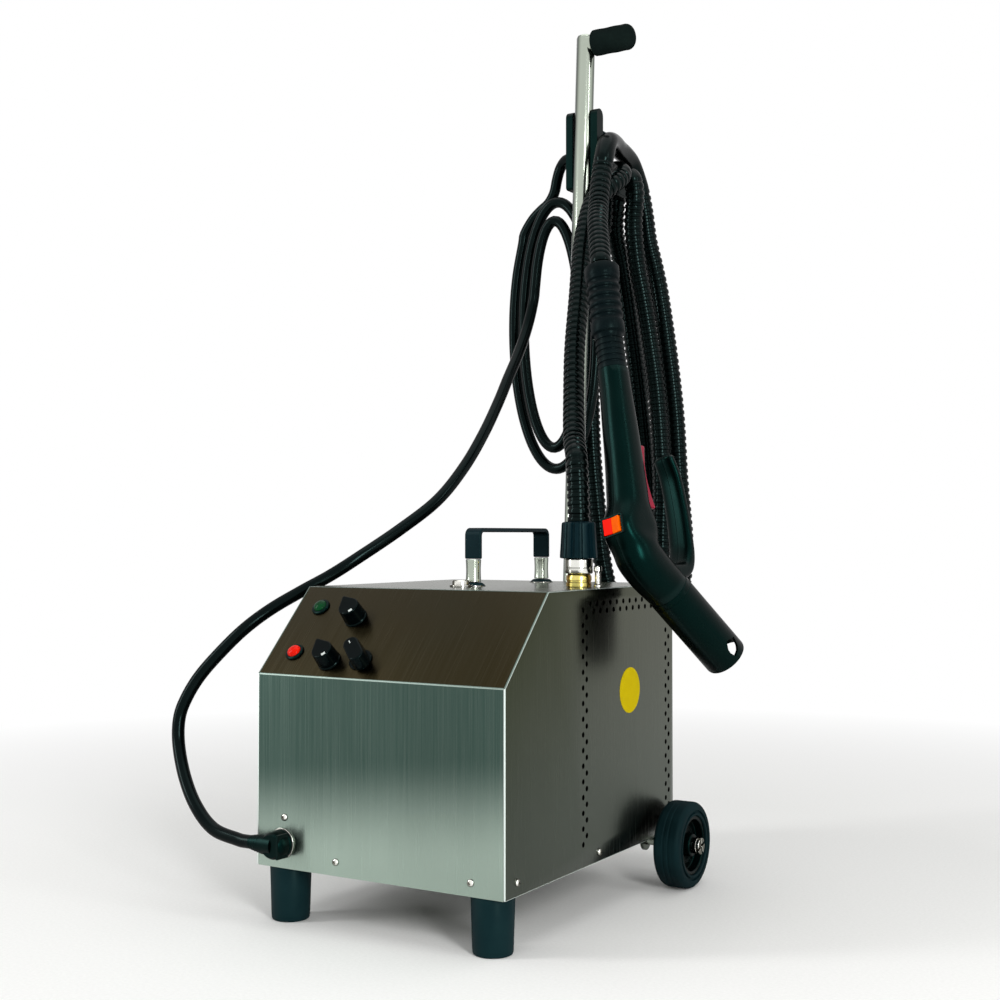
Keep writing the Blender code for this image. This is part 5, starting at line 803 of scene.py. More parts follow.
def make_gland():
    """Strain relief: a round nut on the front face, and a stepped taper that turns the lead left."""
    radius = 0.0135
    mid = GLAND_REACH - GLAND_ARM[0] / 3
    top = GLAND_REACH + GLAND_ARM[0] / 2
    profile = [(0, GAP), (radius, GAP), (radius, mid * 0.35), (radius - 0.0008, mid * 0.42)]
    profile += [(radius - 0.0008, mid * 0.5), (radius, mid * 0.57), (radius, mid)]
    profile += [(radius * 0.97, mid + (top - mid) * 0.5), (radius * 0.85, top - 0.0008)]
    profile += [(radius * 0.8, top), (0, top)]
    place = at(GLAND[0], 0, GLAND[1]) @ turned(90, "X")
    body = moved(lathe(profile), place)
    wide, reach = GLAND_ARM
    arm = [(0, 0), (wide, 0), (wide, reach * 0.45)]
    steps = 4
    for step in range(steps):
        start = reach * (0.45 + 0.5 * step / steps)
        rim = wide - (wide - CORD_RADIUS - 2 * GAP) * (step + 0.5) / steps
        arm += [(rim, start), (rim, start + reach * 0.07), (rim - 0.0009, start + reach * 0.08)]
        arm += [(rim - 0.0009, start + reach * 0.12)]
    arm += [(CORD_RADIUS + GAP, reach * 0.95), (CORD_RADIUS + GAP, reach), (0, reach)]
    arm_place = at(GLAND[0], -GLAND_REACH + wide / 4, GLAND[1]) @ turned(-90, "Y")
    rib = block((0.0085, -0.0115, 0.004), (0.0105, 0.0115, top + 0.0012))
    whole = merged(body, moved(lathe(arm, 48), arm_place), moved(rib, place))
    gland = piece("lead_strain_relief", whole, "glass_filled_nylon", stands_for=["cable_gland"], edge=0.0004)
    ring = lathe([(0.0118, GAP), (0.0146, GAP), (0.0146, 0.0016), (0.0118, 0.0016)])
    piece("strain_relief_ring", ring, "plated_fitting", place, edge=0.0004)
    return gland


def make_plug():
    """Moulded round plug with a ribbed neck and finger grooves, and its two pins."""
    neck_low, body_low, radius, neck = -0.018, -0.064, 0.019, 0.0095
    profile = [(0, body_low), (radius * 0.90, body_low)]
    profile += [(radius * 0.97, body_low + 0.002), (radius, body_low + 0.006)]
    for groove in range(3):
        low = body_low + 0.012 + groove * 0.005
        profile += [(radius, low), (radius - 0.0012, low + 0.0008)]
        profile += [(radius - 0.0012, low + 0.0022), (radius, low + 0.003)]
    profile += [(radius * 0.98, body_low + 0.030), (radius * 0.86, neck_low - 0.006)]
    profile += [(radius * 0.70, neck_low)]
    for ring in range(3):
        low = neck_low + 0.0035 + ring * 0.0045
        wide = neck - ring * 0.0004
        profile += [(wide, low), (wide, low + 0.0026)]
        profile += [(wide - 0.0014, low + 0.0030), (wide - 0.0014, low + 0.0041)]
    profile += [(neck * 0.85, -0.0005), (0, -0.0005)]
    place = Matrix.Translation(PLUG_TOP)
    body = lathe(profile, 56)
    plug = piece("moulded_plug", body, "moulded_rubber", place, stands_for=["mains_plug"], edge=0.0003)
    pins = []
    for hand in (-1, 1):
        pin = lathe([(0, -0.019), (0.0014, -0.019), (0.0024, -0.0175), (0.0024, 0.002), (0, 0.002)], 32)
        pins.append(moved(pin, at(hand * 0.0095, 0, body_low)))
    return plug, piece("plug_pins", merged(*pins), "plated_fitting", place)


# Housing

def filleted(points, radius, steps=5):
    """Open line with each inner corner rounded; also which of its stretches are bends."""
    made = [points[0]]
    bends = [False]
    for before, here, after in zip(points, points[1:], points[2:]):
        here = Vector(here)
        into = (here - Vector(before)).normalized()
        onward = (Vector(after) - here).normalized()
        half = into.angle(onward) / 2
        reach = min(radius * math.tan(half), (Vector(after) - here).length * 0.45)
        start, end = here - into * reach, here + onward * reach
        made.append(tuple(start))
        for step in range(1, steps + 1):
            t = step / steps
            made.append(tuple(start * (1 - t) ** 2 + here * 2 * t * (1 - t) + end * t ** 2))
        bends += [True] * steps + [False]
    made.append(points[-1])
    return made, bends


def make_front_sheet():
    """Front face and control slope in one folded sheet, with a painted highlight on its bend lines."""
    corners = [(0, FLOOR_Z), (0, CREASE_Z), (SLOPE_RUN, TOP_Z), (SLOPE_RUN + TOP_FLANGE, TOP_Z)]
    outer, bends = filleted(corners, BEND_RADIUS)
    inner = []
    for index, here in enumerate(outer):
        before, after = Vector(outer[max(index - 1, 0)]), Vector(outer[min(index + 1, len(outer) - 1)])
        run = (after - before).normalized()
        inner.append((here[0] + run.y * SHEET, here[1] - run.x * SHEET))
    bm = bmesh.new()
    rows = []
    for line in (outer, inner):
        for x in (-INNER_HALF_WIDTH, INNER_HALF_WIDTH):
            rows.append([bm.verts.new((x, y, z)) for y, z in line])
    seen = 0
    for index in range(len(outer) - 1):
        face = bm.faces.new((rows[0][index], rows[1][index], rows[1][index + 1], rows[0][index + 1]))
        if bends[index]:
            face.material_index = 2
        else:
            face.material_index = min(seen, 1)
            seen += 1
        bm.faces.new((rows[2][index], rows[2][index + 1], rows[3][index + 1], rows[3][index]))
        for out, back in ((0, 2), (1, 3)):
            bm.faces.new((rows[out][index], rows[out][index + 1], rows[back][index + 1], rows[back][index]))
    for end in (0, -1):
        bm.faces.new((rows[0][end], rows[1][end], rows[3][end], rows[2][end]))
    bmesh.ops.recalc_face_normals(bm, faces=bm.faces)
    # The bend faces take the fold finish, a painted highlight
    finishes = ["linished_front_sheet", "linished_slope_sheet", "painted_highlight_fold"]
    piece("folded_front_sheet", bm, finishes, stands_for=["front_panel"])


def vent_places():
    """Centres of the vents: two staggered columns at each side, two rows on top."""
    pitch, low, high, second_row, front, rear = 0.015, 0.0755, 0.3055, 0.298, 0.147, 0.3385
    count = int((high - low) / pitch)
    places = []
    for column in (front, rear):
        places += [(column, low + row * pitch) for row in range(count + 1)]
        places += [(column + pitch / 2, low + (row + 0.5) * pitch) for row in range(count)]
    across = round((rear - front) / pitch)
    pitch = (rear - front) / across
    places += [(front + row * pitch, high) for row in range(1, across)]
    places += [(front + (row + 0.5) * pitch, second_row) for row in range(1, across - 1)]
    return places


def make_side_sheets():
    """Side sheets with round vents; their cut and folded rims carry a painted highlight."""
    last_degrees = 360 * (VENT_SIDES - 1) / VENT_SIDES
    corners = [(0, FLOOR_Z), (DEPTH, FLOOR_Z), (DEPTH, TOP_Z), (SLOPE_RUN, TOP_Z), (0, CREASE_Z)]
    wrapped, _ = filleted(corners[-1:] + corners + corners[:1], BEND_RADIUS * 0.6, 3)
    for label, hand in SIDES:
        bm = prism(wrapped[1:-1], HALF_WIDTH - SHEET, HALF_WIDTH)
        for face in bm.faces:
            if abs(face.normal.z) < 0.5:
                face.material_index = 1
        rim = [edge for edge in bm.edges if all(vert.co.z > HALF_WIDTH - SHEET / 2 for vert in edge.verts)]
        bmesh.ops.bevel(bm, geom=rim, offset=EDGE_ROUND, segments=2, affect="EDGES", profile=0.5, material=1)
        vents = []
        for y, z in vent_places():
            outline = arc((y, z), VENT_RADIUS, 0, last_degrees, VENT_SIDES - 1)
            vents.append(prism(outline, HALF_WIDTH - 2 * SHEET, HALF_WIDTH + SHEET))
        bm = carved(bm, merged(*vents))
        place = Matrix.Diagonal((hand, 1, 1, 1)) @ SIDE_ON
        # The rim faces take the bent-edge finish, a painted highlight
        finishes = ["linished_side_sheet", "bright_bent_edge"]
        piece(f"vented_side_sheet_{label}", bm, finishes, place, stands_for=[f"side_panel_{label}"])


def screw_mesh():
    """Pan head with a six-lobed recess."""
    sides = 36

    def ring(radius, height, lobes=0.0):
        points = []
        for side in range(sides):
            angle = 2 * math.pi * side / sides
            reach = radius * (1 + lobes * math.cos(6 * angle))
            points.append((reach * math.cos(angle), reach * math.sin(angle), height))
        return points

    rings = [ring(0, 0), ring(0.0034, 0), ring(0.0034, 0.0006), ring(0.0031, 0.0013), ring(0.0024, 0.0018)]
    rings += [ring(0.0015, 0.0020, 0.15), ring(0.0014, 0.0008, 0.15), ring(0, 0.0008)]
    return shell(rings)


def add_screws(name, places, turn):
    """Plated pan-head screws of one face, in one piece."""
    heads = [moved(screw_mesh(), at(*place) @ turn) for place in places]
    piece(name, merged(*heads), "plated_fitting")


def make_screws():
    front = ((-0.0448, 0.0661), (0.1045, 0.0653), (-0.1063, 0.1017))
    side = ((0.0214, 0.0654), (0.181, 0.0623), (0.3445, 0.0650), (0.3445, 0.308))
    rear = [(x, z) for x in (-0.128, -0.064, 0.064, 0.128) for z in (0.063, 0.310)]
    add_screws("front_screws", [(x, 0, z) for x, z in front], turned(90, "X"))
    for label, hand in SIDES:
        places = [(hand * HALF_WIDTH, y, z) for y, z in side]
        add_screws(f"side_screws_{label}", places, turned(90 * hand, "Y"))
    add_screws("rear_screws", [(x, DEPTH, z) for x, z in rear], turned(-90, "X"))


def make_side_disc():
    disc = lathe([(0, 0), (0.02325, 0), (0.02325, 0.0002), (0.0230, 0.0004), (0, 0.0004)], 80)
    piece("side_disc", disc, "yellow_vinyl_disc", at(HALF_WIDTH, *DISC_PLACE) @ turned(90, "Y"))


def make_feet():
    top = FLOOR_Z - GAP
    profile = [(0, 0), (0.0165, 0), (0.0178, 0.0006), (0.0184, 0.002), (0.0187, 0.006)]
    profile += [(0.0201, top - 0.0012), (0.0196, top), (0, top)]
    for label, hand in SIDES:
        place = at(hand * FOOT_PLACE[0], FOOT_PLACE[1], 0)
        piece(f"rubber_foot_{label}", lathe(profile), "moulded_rubber", place, stands_for=[f"foot_{label}"])


# Wheels

def both_sides(profile):
    """Closed profile that is the same at both sides of its middle height."""
    return [(radius, -height) for radius, height in profile] + list(reversed(profile))


def make_wheels():
    """Ribbed tyres on hubs with a raised rim and boss, each held by a slotted nut."""
    tyre = [(0.031, 0.0143), (0.0318, 0.015), (0.0335, 0.015), (0.0338, 0.0131), (0.0362, 0.0131)]
    tyre += [(0.0365, 0.015), (0.0390, 0.015)]
    for degrees in range(10, 90, 10):
        angle = math.radians(degrees)
        tyre.append((0.039 + 0.006 * math.sin(angle), 0.009 + 0.006 * math.cos(angle)))
    tyre += [(0.045, 0.009), (0.045, 0.0042), (0.0444, 0.0036), (0.0444, 0.0020), (0.045, 0.0014)]
    hub = [(0.0053, 0.013), (0.0105, 0.013), (0.0117, 0.0122), (0.0120, 0.0110), (0.0122, 0.0046)]
    hub += [(0.0135, 0.004), (0.0175, 0.004), (0.0180, 0.0052), (0.0190, 0.0052), (0.0195, 0.004)]
    hub += [(0.0257, 0.004), (0.0264, 0.0048), (0.0268, 0.0122), (0.0275, 0.013), (0.0302, 0.013)]
    hub += [(0.0307, 0.0125)]
    half_slot, nut_radius = 0.0014, 0.0085
    for label, hand in SIDES:
        spin = f"wheel_{label}"
        outward = turned(90 * hand, "Y")
        place = at(hand * WHEEL_X, AXLE_Y, AXLE_Z) @ outward
        tread = lathe(both_sides(tyre), 96)
        piece(f"{spin}_tyre", tread, "tyre_rubber", place, spin, [f"tyre_{label}"])
        centre = lathe(both_sides(hub), 72)
        piece(f"{spin}_hub", centre, "glass_filled_nylon", place, spin, [f"wheel_hub_{label}"], edge=0.0004)
        nut = [lathe([(0, 0.0001), (nut_radius, 0.0001), (nut_radius, 0.0056), (0, 0.0056)], 48)]
        for quarter in range(4):
            lobe = prism([(half_slot, half_slot)] + arc((0, 0), nut_radius, 11, 79, 8), 0.0050, 0.0090)
            nut.append(moved(lobe, turned(90 * quarter + 20, "Z")))
        place = at(hand * AXLE_NUT_X, AXLE_Y, AXLE_Z) @ outward
        whole = merged(*nut)
        stands_for = [f"axle_nut_{label}"]
        piece(f"slotted_nut_{label}", whole, "plated_fitting", place, stands_for=stands_for, edge=0.0006)


# Post, hooks and carry handle

def post_y(z):
    return POST_FOOT[0] + POST_SLOPE * (z - POST_FOOT[1])


def make_post():
    """Upright tube with a closed, slightly domed top, and the grip's stub welded on its side."""
    foot, corner = Vector((0, *POST_FOOT)), Vector((0, *POST_TOP))
    up = (corner - foot).normalized()
    height = (corner - foot).length
    radius = POST_RADIUS
    rise = [(0, 0), (radius - 0.0012, 0), (radius, 0.0012), (radius, height + radius - 0.0042)]
    rise += [(radius - 0.0009, height + radius - 0.0018), (radius - 0.0032, height + radius - 0.0006)]
    rise += [(0, height + radius - 0.0001)]
    upright = moved(lathe(rise, 64), columns((1, 0, 0), up.cross(Vector((1, 0, 0))), up, foot))
    arm = lathe([(0, 0.002), (radius, 0.002), (radius, 0.056), (radius - 0.001, 0.0575), (0, 0.0575)], 56)
    stub = moved(arm, at(*corner) @ turned(90, "Y"))
    whole = carved(upright, stub, "UNION")
    piece("welded_post", whole, "polished_stainless", stands_for=["push_post"], edge=0.0008)
    grip = [(0.0113, 0.0165), (0.0143, 0.0165), (0.0150, 0.0173)]
    for step in range(1, 12):
        grip.append((0.0150 + 0.0002 * math.sin(step), 0.0173 + 0.0407 * step / 12))
    for degrees in range(0, 91, 10):
        angle = math.radians(degrees)
        grip.append((0.006 + 0.009 * math.cos(angle), 0.058 + 0.009 * math.sin(angle)))
    grip += [(0.0, 0.0672), (0.0, 0.0604), (0.0113, 0.0604)]
    rings = [round_ring(radius, height, 64) for radius, height in grip]
    place = at(-0.0045, *POST_TOP) @ turned(90, "Y")
    piece("foam_grip", shell(rings, True), "soft_foam", place, stands_for=["push_grip"])
    places = []
    for z in CLAMP_HEIGHTS:
        rear = post_y(z) + POST_RADIUS + 0.005
        places += [(x, rear, z) for x in (-0.0155, 0.0155)]
    add_screws("clamp_screws", places, turned(-90, "X"))
    for node in ("post_clamp_lower", "post_clamp_upper"):
        dress(node, "glass_filled_nylon", 0.0012)


HOOK_Z, HORN_TOP_Z = 0.783, 0.8765
ARM_X, ARM_WIDTH, ARM_HEIGHT = 0.0164, 0.0088, 0.0145


def make_hooks():
    """Moulded bracket: a hook with horn and tip at each side of the post, and a rear bridge."""
    front = post_y(HOOK_Z) - 0.002
    rear, arm_top, horn, tip = front + 0.104, HOOK_Z + ARM_HEIGHT, 0.016, 0.008
    outline = [(front + 0.002, HOOK_Z), (rear - 0.003, HOOK_Z)]
    outline += [(rear - 0.0009, HOOK_Z + 0.0009), (rear, HOOK_Z + 0.003)]
    outline += arc((rear - tip / 2, arm_top + 0.012 - tip / 2), tip / 2, 0, 180)
    outline += arc((rear - tip - 0.003, arm_top + 0.003), 0.003, 0, -90, 4)
    outline += arc((front + horn + 0.004, arm_top + 0.004), 0.004, -90, -180, 5)
    outline += arc((front + horn / 2, HORN_TOP_Z - horn / 2), horn / 2, 0, 180) + [(front, HOOK_Z + 0.002)]
    parts = []
    for hand in (-1, 1):
        x = hand * ARM_X
        parts.append(moved(prism(outline, x - ARM_WIDTH / 2, x + ARM_WIDTH / 2), SIDE_ON))
        web = [(front + 0.020, HOOK_Z + 0.003), (rear - 0.006, HOOK_Z + 0.003)]
        web += [(rear - 0.006, arm_top - 0.003), (front + 0.020, arm_top - 0.003)]
        outer = x + hand * ARM_WIDTH / 2
        parts.append(moved(prism(web, outer - 0.0004, outer + 0.0004), SIDE_ON))
    reach = ARM_X + ARM_WIDTH / 2
    post_rear = post_y(HOOK_Z + ARM_HEIGHT) + POST_RADIUS
    bridge_rear = post_rear + 0.0055
    bridge = block((-reach + GAP, post_rear - 0.004, HOOK_Z), (reach - GAP, bridge_rear, arm_top - GAP))
    bridge = carved(bridge, moved(
        lathe([(0, -0.05), (POST_RADIUS + GAP, -0.05), (POST_RADIUS + GAP, 0.05), (0, 0.05)]),
        at(0, post_y(HOOK_Z), HOOK_Z) @ turned(math.degrees(-math.atan(POST_SLOPE)), "X"),
    ))
    whole = merged(*parts, bridge)
    piece("moulded_hooks", whole, "glass_filled_nylon", stands_for=["hook_bracket"], edge=0.0011, steps=3)
    places = [(x, bridge_rear, HOOK_Z + 0.007) for x in (-0.009, 0.009)]
    add_screws("hook_screws", places, turned(-90, "X"))
    first = Vector(KEEPER_ROUTE[0])
    start = Vector((first.x, front + horn + GAP, first.z))
    line = [start] + spline([start + Vector((0, 0.003, 0))] + [Vector(point) for point in KEEPER_ROUTE], 8)
    centres = even(line, 0.002)
    radii = [0.0015] * len(centres)
    radii[-1] = 0.0009
    piece("hose_keeper_strap", tube(centres, radii, 20), "moulded_rubber", stands_for=["hook_keeper"])


def make_carry_handle():
    """Moulded strap on two bright ferrules, each with a rubber washer on a plated base."""
    thick, top, leg, corner = 0.0045, 0.380, 0.348, 0.008
    low, high = HANDLE_LEGS[0][1] - thick / 2, HANDLE_LEGS[1][1] + thick / 2
    outer = [(low, leg)] + arc((low + corner, top - corner), corner, 180, 90, 8)
    outer += arc((high - corner, top - corner), corner, 90, 0, 8) + [(high, leg)]
    inner_top, small = top - thick, 0.004
    inner = [(high - thick, leg)] + arc((high - thick - small, inner_top - small), small, 0, 90, 5)
    inner += arc((low + thick + small, inner_top - small), small, 90, 180, 5) + [(low + thick, leg)]
    strap = moved(prism(outer + inner, -0.0095, 0.0095), SIDE_ON)
    piece("carry_strap", strap, "teal_black_nylon", stands_for=["carry_grip"], edge=0.0014, steps=3)
    low = TOP_Z + 0.0041
    high = leg - GAP
    ferrule = [(0, low), (0.0074, low), (0.0080, low + 0.0006), (0.0080, low + 0.0022)]
    for step in range(9):
        share = step / 8
        height = low + 0.003 + (high - low - 0.006) * share
        ferrule.append((0.0079 - 0.0003 * math.sin(math.pi * share), height))
    ferrule += [(0.0080, high - 0.0022), (0.0080, high - 0.0006), (0.0074, high), (0, high)]
    washer = [(0, TOP_SEAT_Z), (0.0116, TOP_SEAT_Z), (0.0120, TOP_Z + 0.0008), (0.0112, TOP_Z + 0.0020)]
    washer += [(0.0090, TOP_Z + 0.0036), (0, TOP_Z + 0.0038)]
    base = [(0, TOP_Z + 0.0001), (0.0128, TOP_Z + 0.0001), (0.0128, TOP_Z + 0.0007), (0, TOP_Z + 0.0007)]
    for label, y in HANDLE_LEGS:
        place = at(0, y, 0)
        for name, profile, finish, stands_for in (
            ("bright_ferrule", ferrule, "polished_stainless", [f"carry_ferrule_{label}"]),
            ("rubber_washer", washer, "moulded_rubber", [f"carry_washer_{label}"]),
            ("washer_base", base, "plated_fitting", []),
        ):
            piece(f"{name}_{label}", lathe(profile), finish, place, stands_for=stands_for)


# Steam outlet and top fittings

def make_outlet():
    """Turned brass boss with a groove, and the plated collar over it."""
    place = at(*OUTLET, 0)
    bore, seat = OUTLET_BORE, TOP_SEAT_Z
    body = [(bore, TOP_Z - 0.0115), (0.010, TOP_Z - 0.0115), (0.010, seat), (0.0126, seat)]
    body += [(0.013, seat + 0.0005), (0.013, seat + 0.0042), (0.0123, seat + 0.0048)]
    body += [(0.0123, seat + 0.0060), (0.013, seat + 0.0066), (0.013, seat + 0.0100)]
    body += [(0.0124, seat + 0.0116), (0.0114, seat + 0.013), (bore, seat + 0.013)]
    piece("brass_outlet", lathe(body), "turned_brass", place, stands_for=["outlet_body"])
    low = COLLAR_SEAT_Z
    collar = [(bore, low), (0.0130, low), (0.0140, low + 0.0006), (0.0143, low + 0.0016)]
    collar += [(0.0143, low + 0.0052), (0.0139, low + 0.0056), (0.0139, low + 0.0062)]
    collar += [(0.0143, low + 0.0066), (0.0143, low + 0.0134), (0.0140, low + 0.0144)]
    collar += [(0.0130, low + 0.015), (bore, low + 0.015)]
    piece("plated_collar", lathe(collar), "plated_fitting", place, stands_for=["outlet_collar"])


def make_nut():
    """Coupling nut with fourteen flat-topped grip ribs above its flange."""
    ribs, depth = 14, 0.0019
    # One rib: share of its turn, and share of the depth that is cut away there
    flat = ((0.03, 0.35), (0.06, 0), (0.20, 0), (0.40, 0), (0.56, 0))
    shape = flat + ((0.60, 0.35), (0.68, 1), (0.80, 1), (0.94, 1))

    def ring(radius, height):
        points = []
        for rib in range(ribs):
            for share, deep in shape:
                angle = (rib + share) * 2 * math.pi / ribs
                reach = radius - depth * deep
                points.append((reach * math.cos(angle), reach * math.sin(angle), height))
        return points

    levels = [(0.0002, 0.0182), (0.0008, 0.0191), (0.0030, 0.0192), (0.012, 0.0186), (0.0250, 0.0179)]
    levels += [(0.0345, 0.0174), (0.0358, 0.0170), (0.0366, 0.0160)]
    rings = [ring(radius, height) for height, radius in levels] + [ring(0.0140, NUT_HEIGHT)]
    bore = OUTLET_BORE
    flange = [(bore, 0), (0.0170, 0), (0.0176, 0.0006), (0.0176, 0.002), (bore, 0.002)]
    lip = [(0.0117, 0.034), (0.0142, 0.034), (0.0142, 0.0369), (0.0137, 0.0372), (0.0121, 0.0372)]
    lip += [(0.0117, 0.0368)]
    whole = merged(shell(rings), lathe(flange), lathe(lip))
    place = at(*OUTLET, NUT_SEAT_Z)
    piece("ribbed_nut", whole, "teal_black_nylon", place, "coupling", ["coupling_nut"])


def make_top_fittings():
    """Relief valve's pin beside the outlet, and the low cap of the filler."""
    seat = TOP_SEAT_Z
    pin = [(0, seat), (0.0042, seat), (0.0042, seat + 0.002), (0.0030, seat + 0.0032)]
    pin += [(0.0030, seat + 0.0145), (0.0042, seat + 0.0158), (0.0042, seat + 0.0200)]
    pin += [(0.0036, seat + 0.021), (0, seat + 0.021)]
    place = at(*RELIEF_PIN, 0)
    piece("relief_valve_pin", lathe(pin, 40), "plated_fitting", place, stands_for=["relief_pin"])
    cap = [(0, seat), (0.0112, seat), (0.0115, seat + 0.0004), (0.0115, seat + 0.0016)]
    cap += [(0.0110, seat + 0.002), (0.0090, seat + 0.0022), (0.0090, seat + 0.0056)]
    cap += [(0.0082, seat + 0.0066), (0.0068, seat + 0.007), (0, seat + 0.007)]
    place = at(*FILLER_CAP, 0)
    piece("plated_filler_cap", lathe(cap, 56), "plated_fitting", place, stands_for=["filler_cap"])


# Lamps and knobs on the slope

def slope_frame(across, up):
    lean = Matrix.Rotation(SLOPE_ANGLE, 4, "X")
    return at(across, 0, CREASE_Z) @ lean @ at(0, up, 0)


def make_lamps():
    """Domed lenses in low black bezels."""
    bezel = [(0.0070, GAP), (0.0092, GAP), (0.0095, 0.0006), (0.0095, 0.0014), (0.0090, 0.0022)]
    bezel += [(0.0076, 0.0027), (0.0070, 0.0027)]
    lens = [(0, -0.002), (0.0069, -0.002), (0.0069, 0.0024)]
    for degrees in range(0, 91, 10):
        angle = math.radians(degrees)
        lens.append((0.0068 * math.cos(angle), 0.0026 + 0.0039 * math.sin(angle)))
    for label, up in LAMPS:
        place = slope_frame(LAMP_X, up)
        for name, profile, finish, node in (
            ("bezel", bezel, "glass_filled_nylon", f"lamp_{label}_bezel"),
            ("dome", lens, f"{label}_lamp_acrylic", f"lamp_{label}_lens"),
        ):
            piece(f"{label}_lamp_{name}", lathe(profile, 56), finish, place, stands_for=[node])


def make_knobs():
    """Two round knobs with a pointer nose, and one oblong knob, each on a low skirt, with a white painted
    highlight on its top.
    """
    radius, nose = 0.0114, 0.0178
    flank = math.degrees(math.acos(0.42))
    pointer = arc((0, 0), radius, 90 + flank, 450 - flank, 40)
    pointer += [(0.0032, 0.0148), (0.0014, nose), (-0.0014, nose), (-0.0032, 0.0148)]
    bar = arc((0, 0.0087), 0.0085, 0, 180, 14) + arc((0, -0.0087), 0.0085, 180, 360, 14)
    skirt = [(0, GAP), (0.0114, GAP), (0.0118, 0.0006), (0.0117, 0.0018), (0.0110, 0.0026), (0, 0.0026)]
    # White patches on the knobs' tops, away from the nose: painted highlights
    pointer_highlight = block((-0.0020, -0.0096, 0.0180), (0.0020, -0.0068, 0.01875))
    bar_highlight = block((-0.0005, 0.0080, 0.0180), (0.0005, 0.0115, 0.01875))
    for label, across, up, outline, highlight in (
        ("steam", -0.060, 0.074, pointer, pointer_highlight.copy()),
        ("water", -0.063, 0.0195, pointer, pointer_highlight),
        ("mode", -0.0275, 0.0225, bar, bar_highlight),
    ):
        place = slope_frame(across, up) @ turned(45, "Z")
        body = f"{label}_knob"
        grip = prism(outline, 0.0026, 0.0186)
        for vertex in grip.verts:
            if vertex.co.z > 0.01:
                vertex.co.x *= 0.90
                vertex.co.y *= 0.95
        stands_for = [f"knob_{label}"]
        piece(f"{label}_knob_grip", grip, "glossy_knob", place, body, stands_for, edge=0.0016, steps=4)
        piece(f"{label}_knob_skirt", lathe(skirt, 64), "glossy_knob", place, body, stands_for)
        piece(f"{label}_knob_highlight", highlight, "white_infill", place, body, stands_for)


# Steam gun

def gun_sections():
    """Sections along the gun: centre (x, z), turn, half depth, half width and boxiness."""
    angle = gun_angle()
    rows = []
    for share, depth, width, back in (
        (1.00, GRIP_TOP_RADIUS, GRIP_TOP_RADIUS, 0.0),
        (0.88, GRIP_TOP_RADIUS * 1.05, GRIP_TOP_RADIUS * 1.02, 0.0),
        (0.72, WAIST_RADIUS * 0.93, GRIP_TOP_RADIUS * 1.08, 0.1),
        (0.52, WAIST_RADIUS, GRIP_TOP_RADIUS * 1.16, 0.3),
        (0.34, BODY_RADIUS * 0.93, WAIST_RADIUS, 0.7),
        (0.25, BODY_RADIUS, WAIST_RADIUS * 1.04, 1.0),
    ):
        rows.append((-0.004 * back, GRIP_LENGTH * share, 0.0, depth, width, 2.3))
    housing_half = (SWITCH_LENGTH + SWITCH_REACH / 8) / 2
    for hand in (1, -1):
        rows.append((
            -(SWITCH_REACH - BODY_RADIUS) / 2, SWITCH_UP + hand * housing_half / 2, 0.0,
            (SWITCH_REACH + BODY_RADIUS) / 2, SWITCH_HALF_WIDTH, 3.4,
        ))
    for step in range(1, 5):
        share = step / 4
        swell = share * (1 - share)
        along_grip = TURN_START * (1 - share) ** 2
        along_barrel = BARREL_START * share ** 2
        rows.append((
            along_barrel * math.sin(angle) - 0.020 * swell, along_grip - along_barrel * math.cos(angle),
            angle * share, BODY_RADIUS * (1 + 0.5 * swell), BODY_RADIUS, 2.0 + swell,
        ))
    return spline(rows, 6)


def guard_sections():
    """Sections along the hand guard, from its root in the gun's bend to its free top."""
    rows = []
    path = [
        (0.45, -0.14), (0.68, -0.12), (0.87, -0.07), (0.97, 0.07),
        (1.00, 0.27), (1.00, 0.53), (0.96, 0.81), (0.87, 1.00),
    ]
    line = spline([(GUARD_REACH * x, 0, GUARD_TOP * z) for x, z in path], 6)
    for index, point in enumerate(line):
        share = index / (len(line) - 1)
        run = line[min(index + 1, len(line) - 1)] - line[max(index - 1, 0)]
        slim = 0.0110 - 0.0052 * min(share * 2, 1) - 0.0013 * max(share * 2 - 1, 0)
        rows.append((point.x, point.z, math.atan2(-run.x, run.z), slim, 0.017 - 0.005 * share, 3.0))
    ends = [(share, rows[-1]) for share in (0.86, 0.55)]
    for step, (share, row) in enumerate(ends):
        rise = 0.0016 * (step + 1)
        x = row[0] - math.sin(row[2]) * rise
        z = row[1] + math.cos(row[2]) * rise
        rows.append((x, z, row[2], row[3] * share, row[4] * share, 3.0))
    return rows


def lofted(rows):
    rings = []
    for x, z, turn, depth, width, boxiness in rows:
        ring = []
        for side in range(64):
            angle = 2 * math.pi * (side + 0.5) / 64
            out = math.copysign(abs(math.cos(angle)) ** (2 / boxiness), math.cos(angle)) * depth
            across = math.copysign(abs(math.sin(angle)) ** (2 / boxiness), math.sin(angle)) * width
            ring.append((x + out * math.cos(turn), across, z + out * math.sin(turn)))
        rings.append(ring)
    return shell(rings)


def half_of(bm, hand):
    """The half of a body at one side of the gun's middle, with its flat face closed."""
    found = bmesh.ops.bisect_plane(
        bm, geom=bm.verts[:] + bm.edges[:] + bm.faces[:], dist=1e-6,
        plane_co=(0, hand * 0.00025, 0), plane_no=(0, hand, 0), clear_inner=True,
    )
    rim = [item for item in found["geom_cut"] if isinstance(item, bmesh.types.BMEdge)]
    bmesh.ops.holes_fill(bm, edges=rim, sides=0)
    bmesh.ops.recalc_face_normals(bm, faces=bm.faces)
    return bm


def rocker_frame():
    return columns((0, 0, -1), (0, -1, 0), (-1, 0, 0), (-SWITCH_REACH, 0, SWITCH_UP))


def barrel_frame():
    angle = gun_angle()
    direction = Vector((math.sin(angle), 0, -math.cos(angle)))
    across = Vector((0, 1, 0))
    return columns(across.cross(direction), across, direction, direction * BARREL_START)


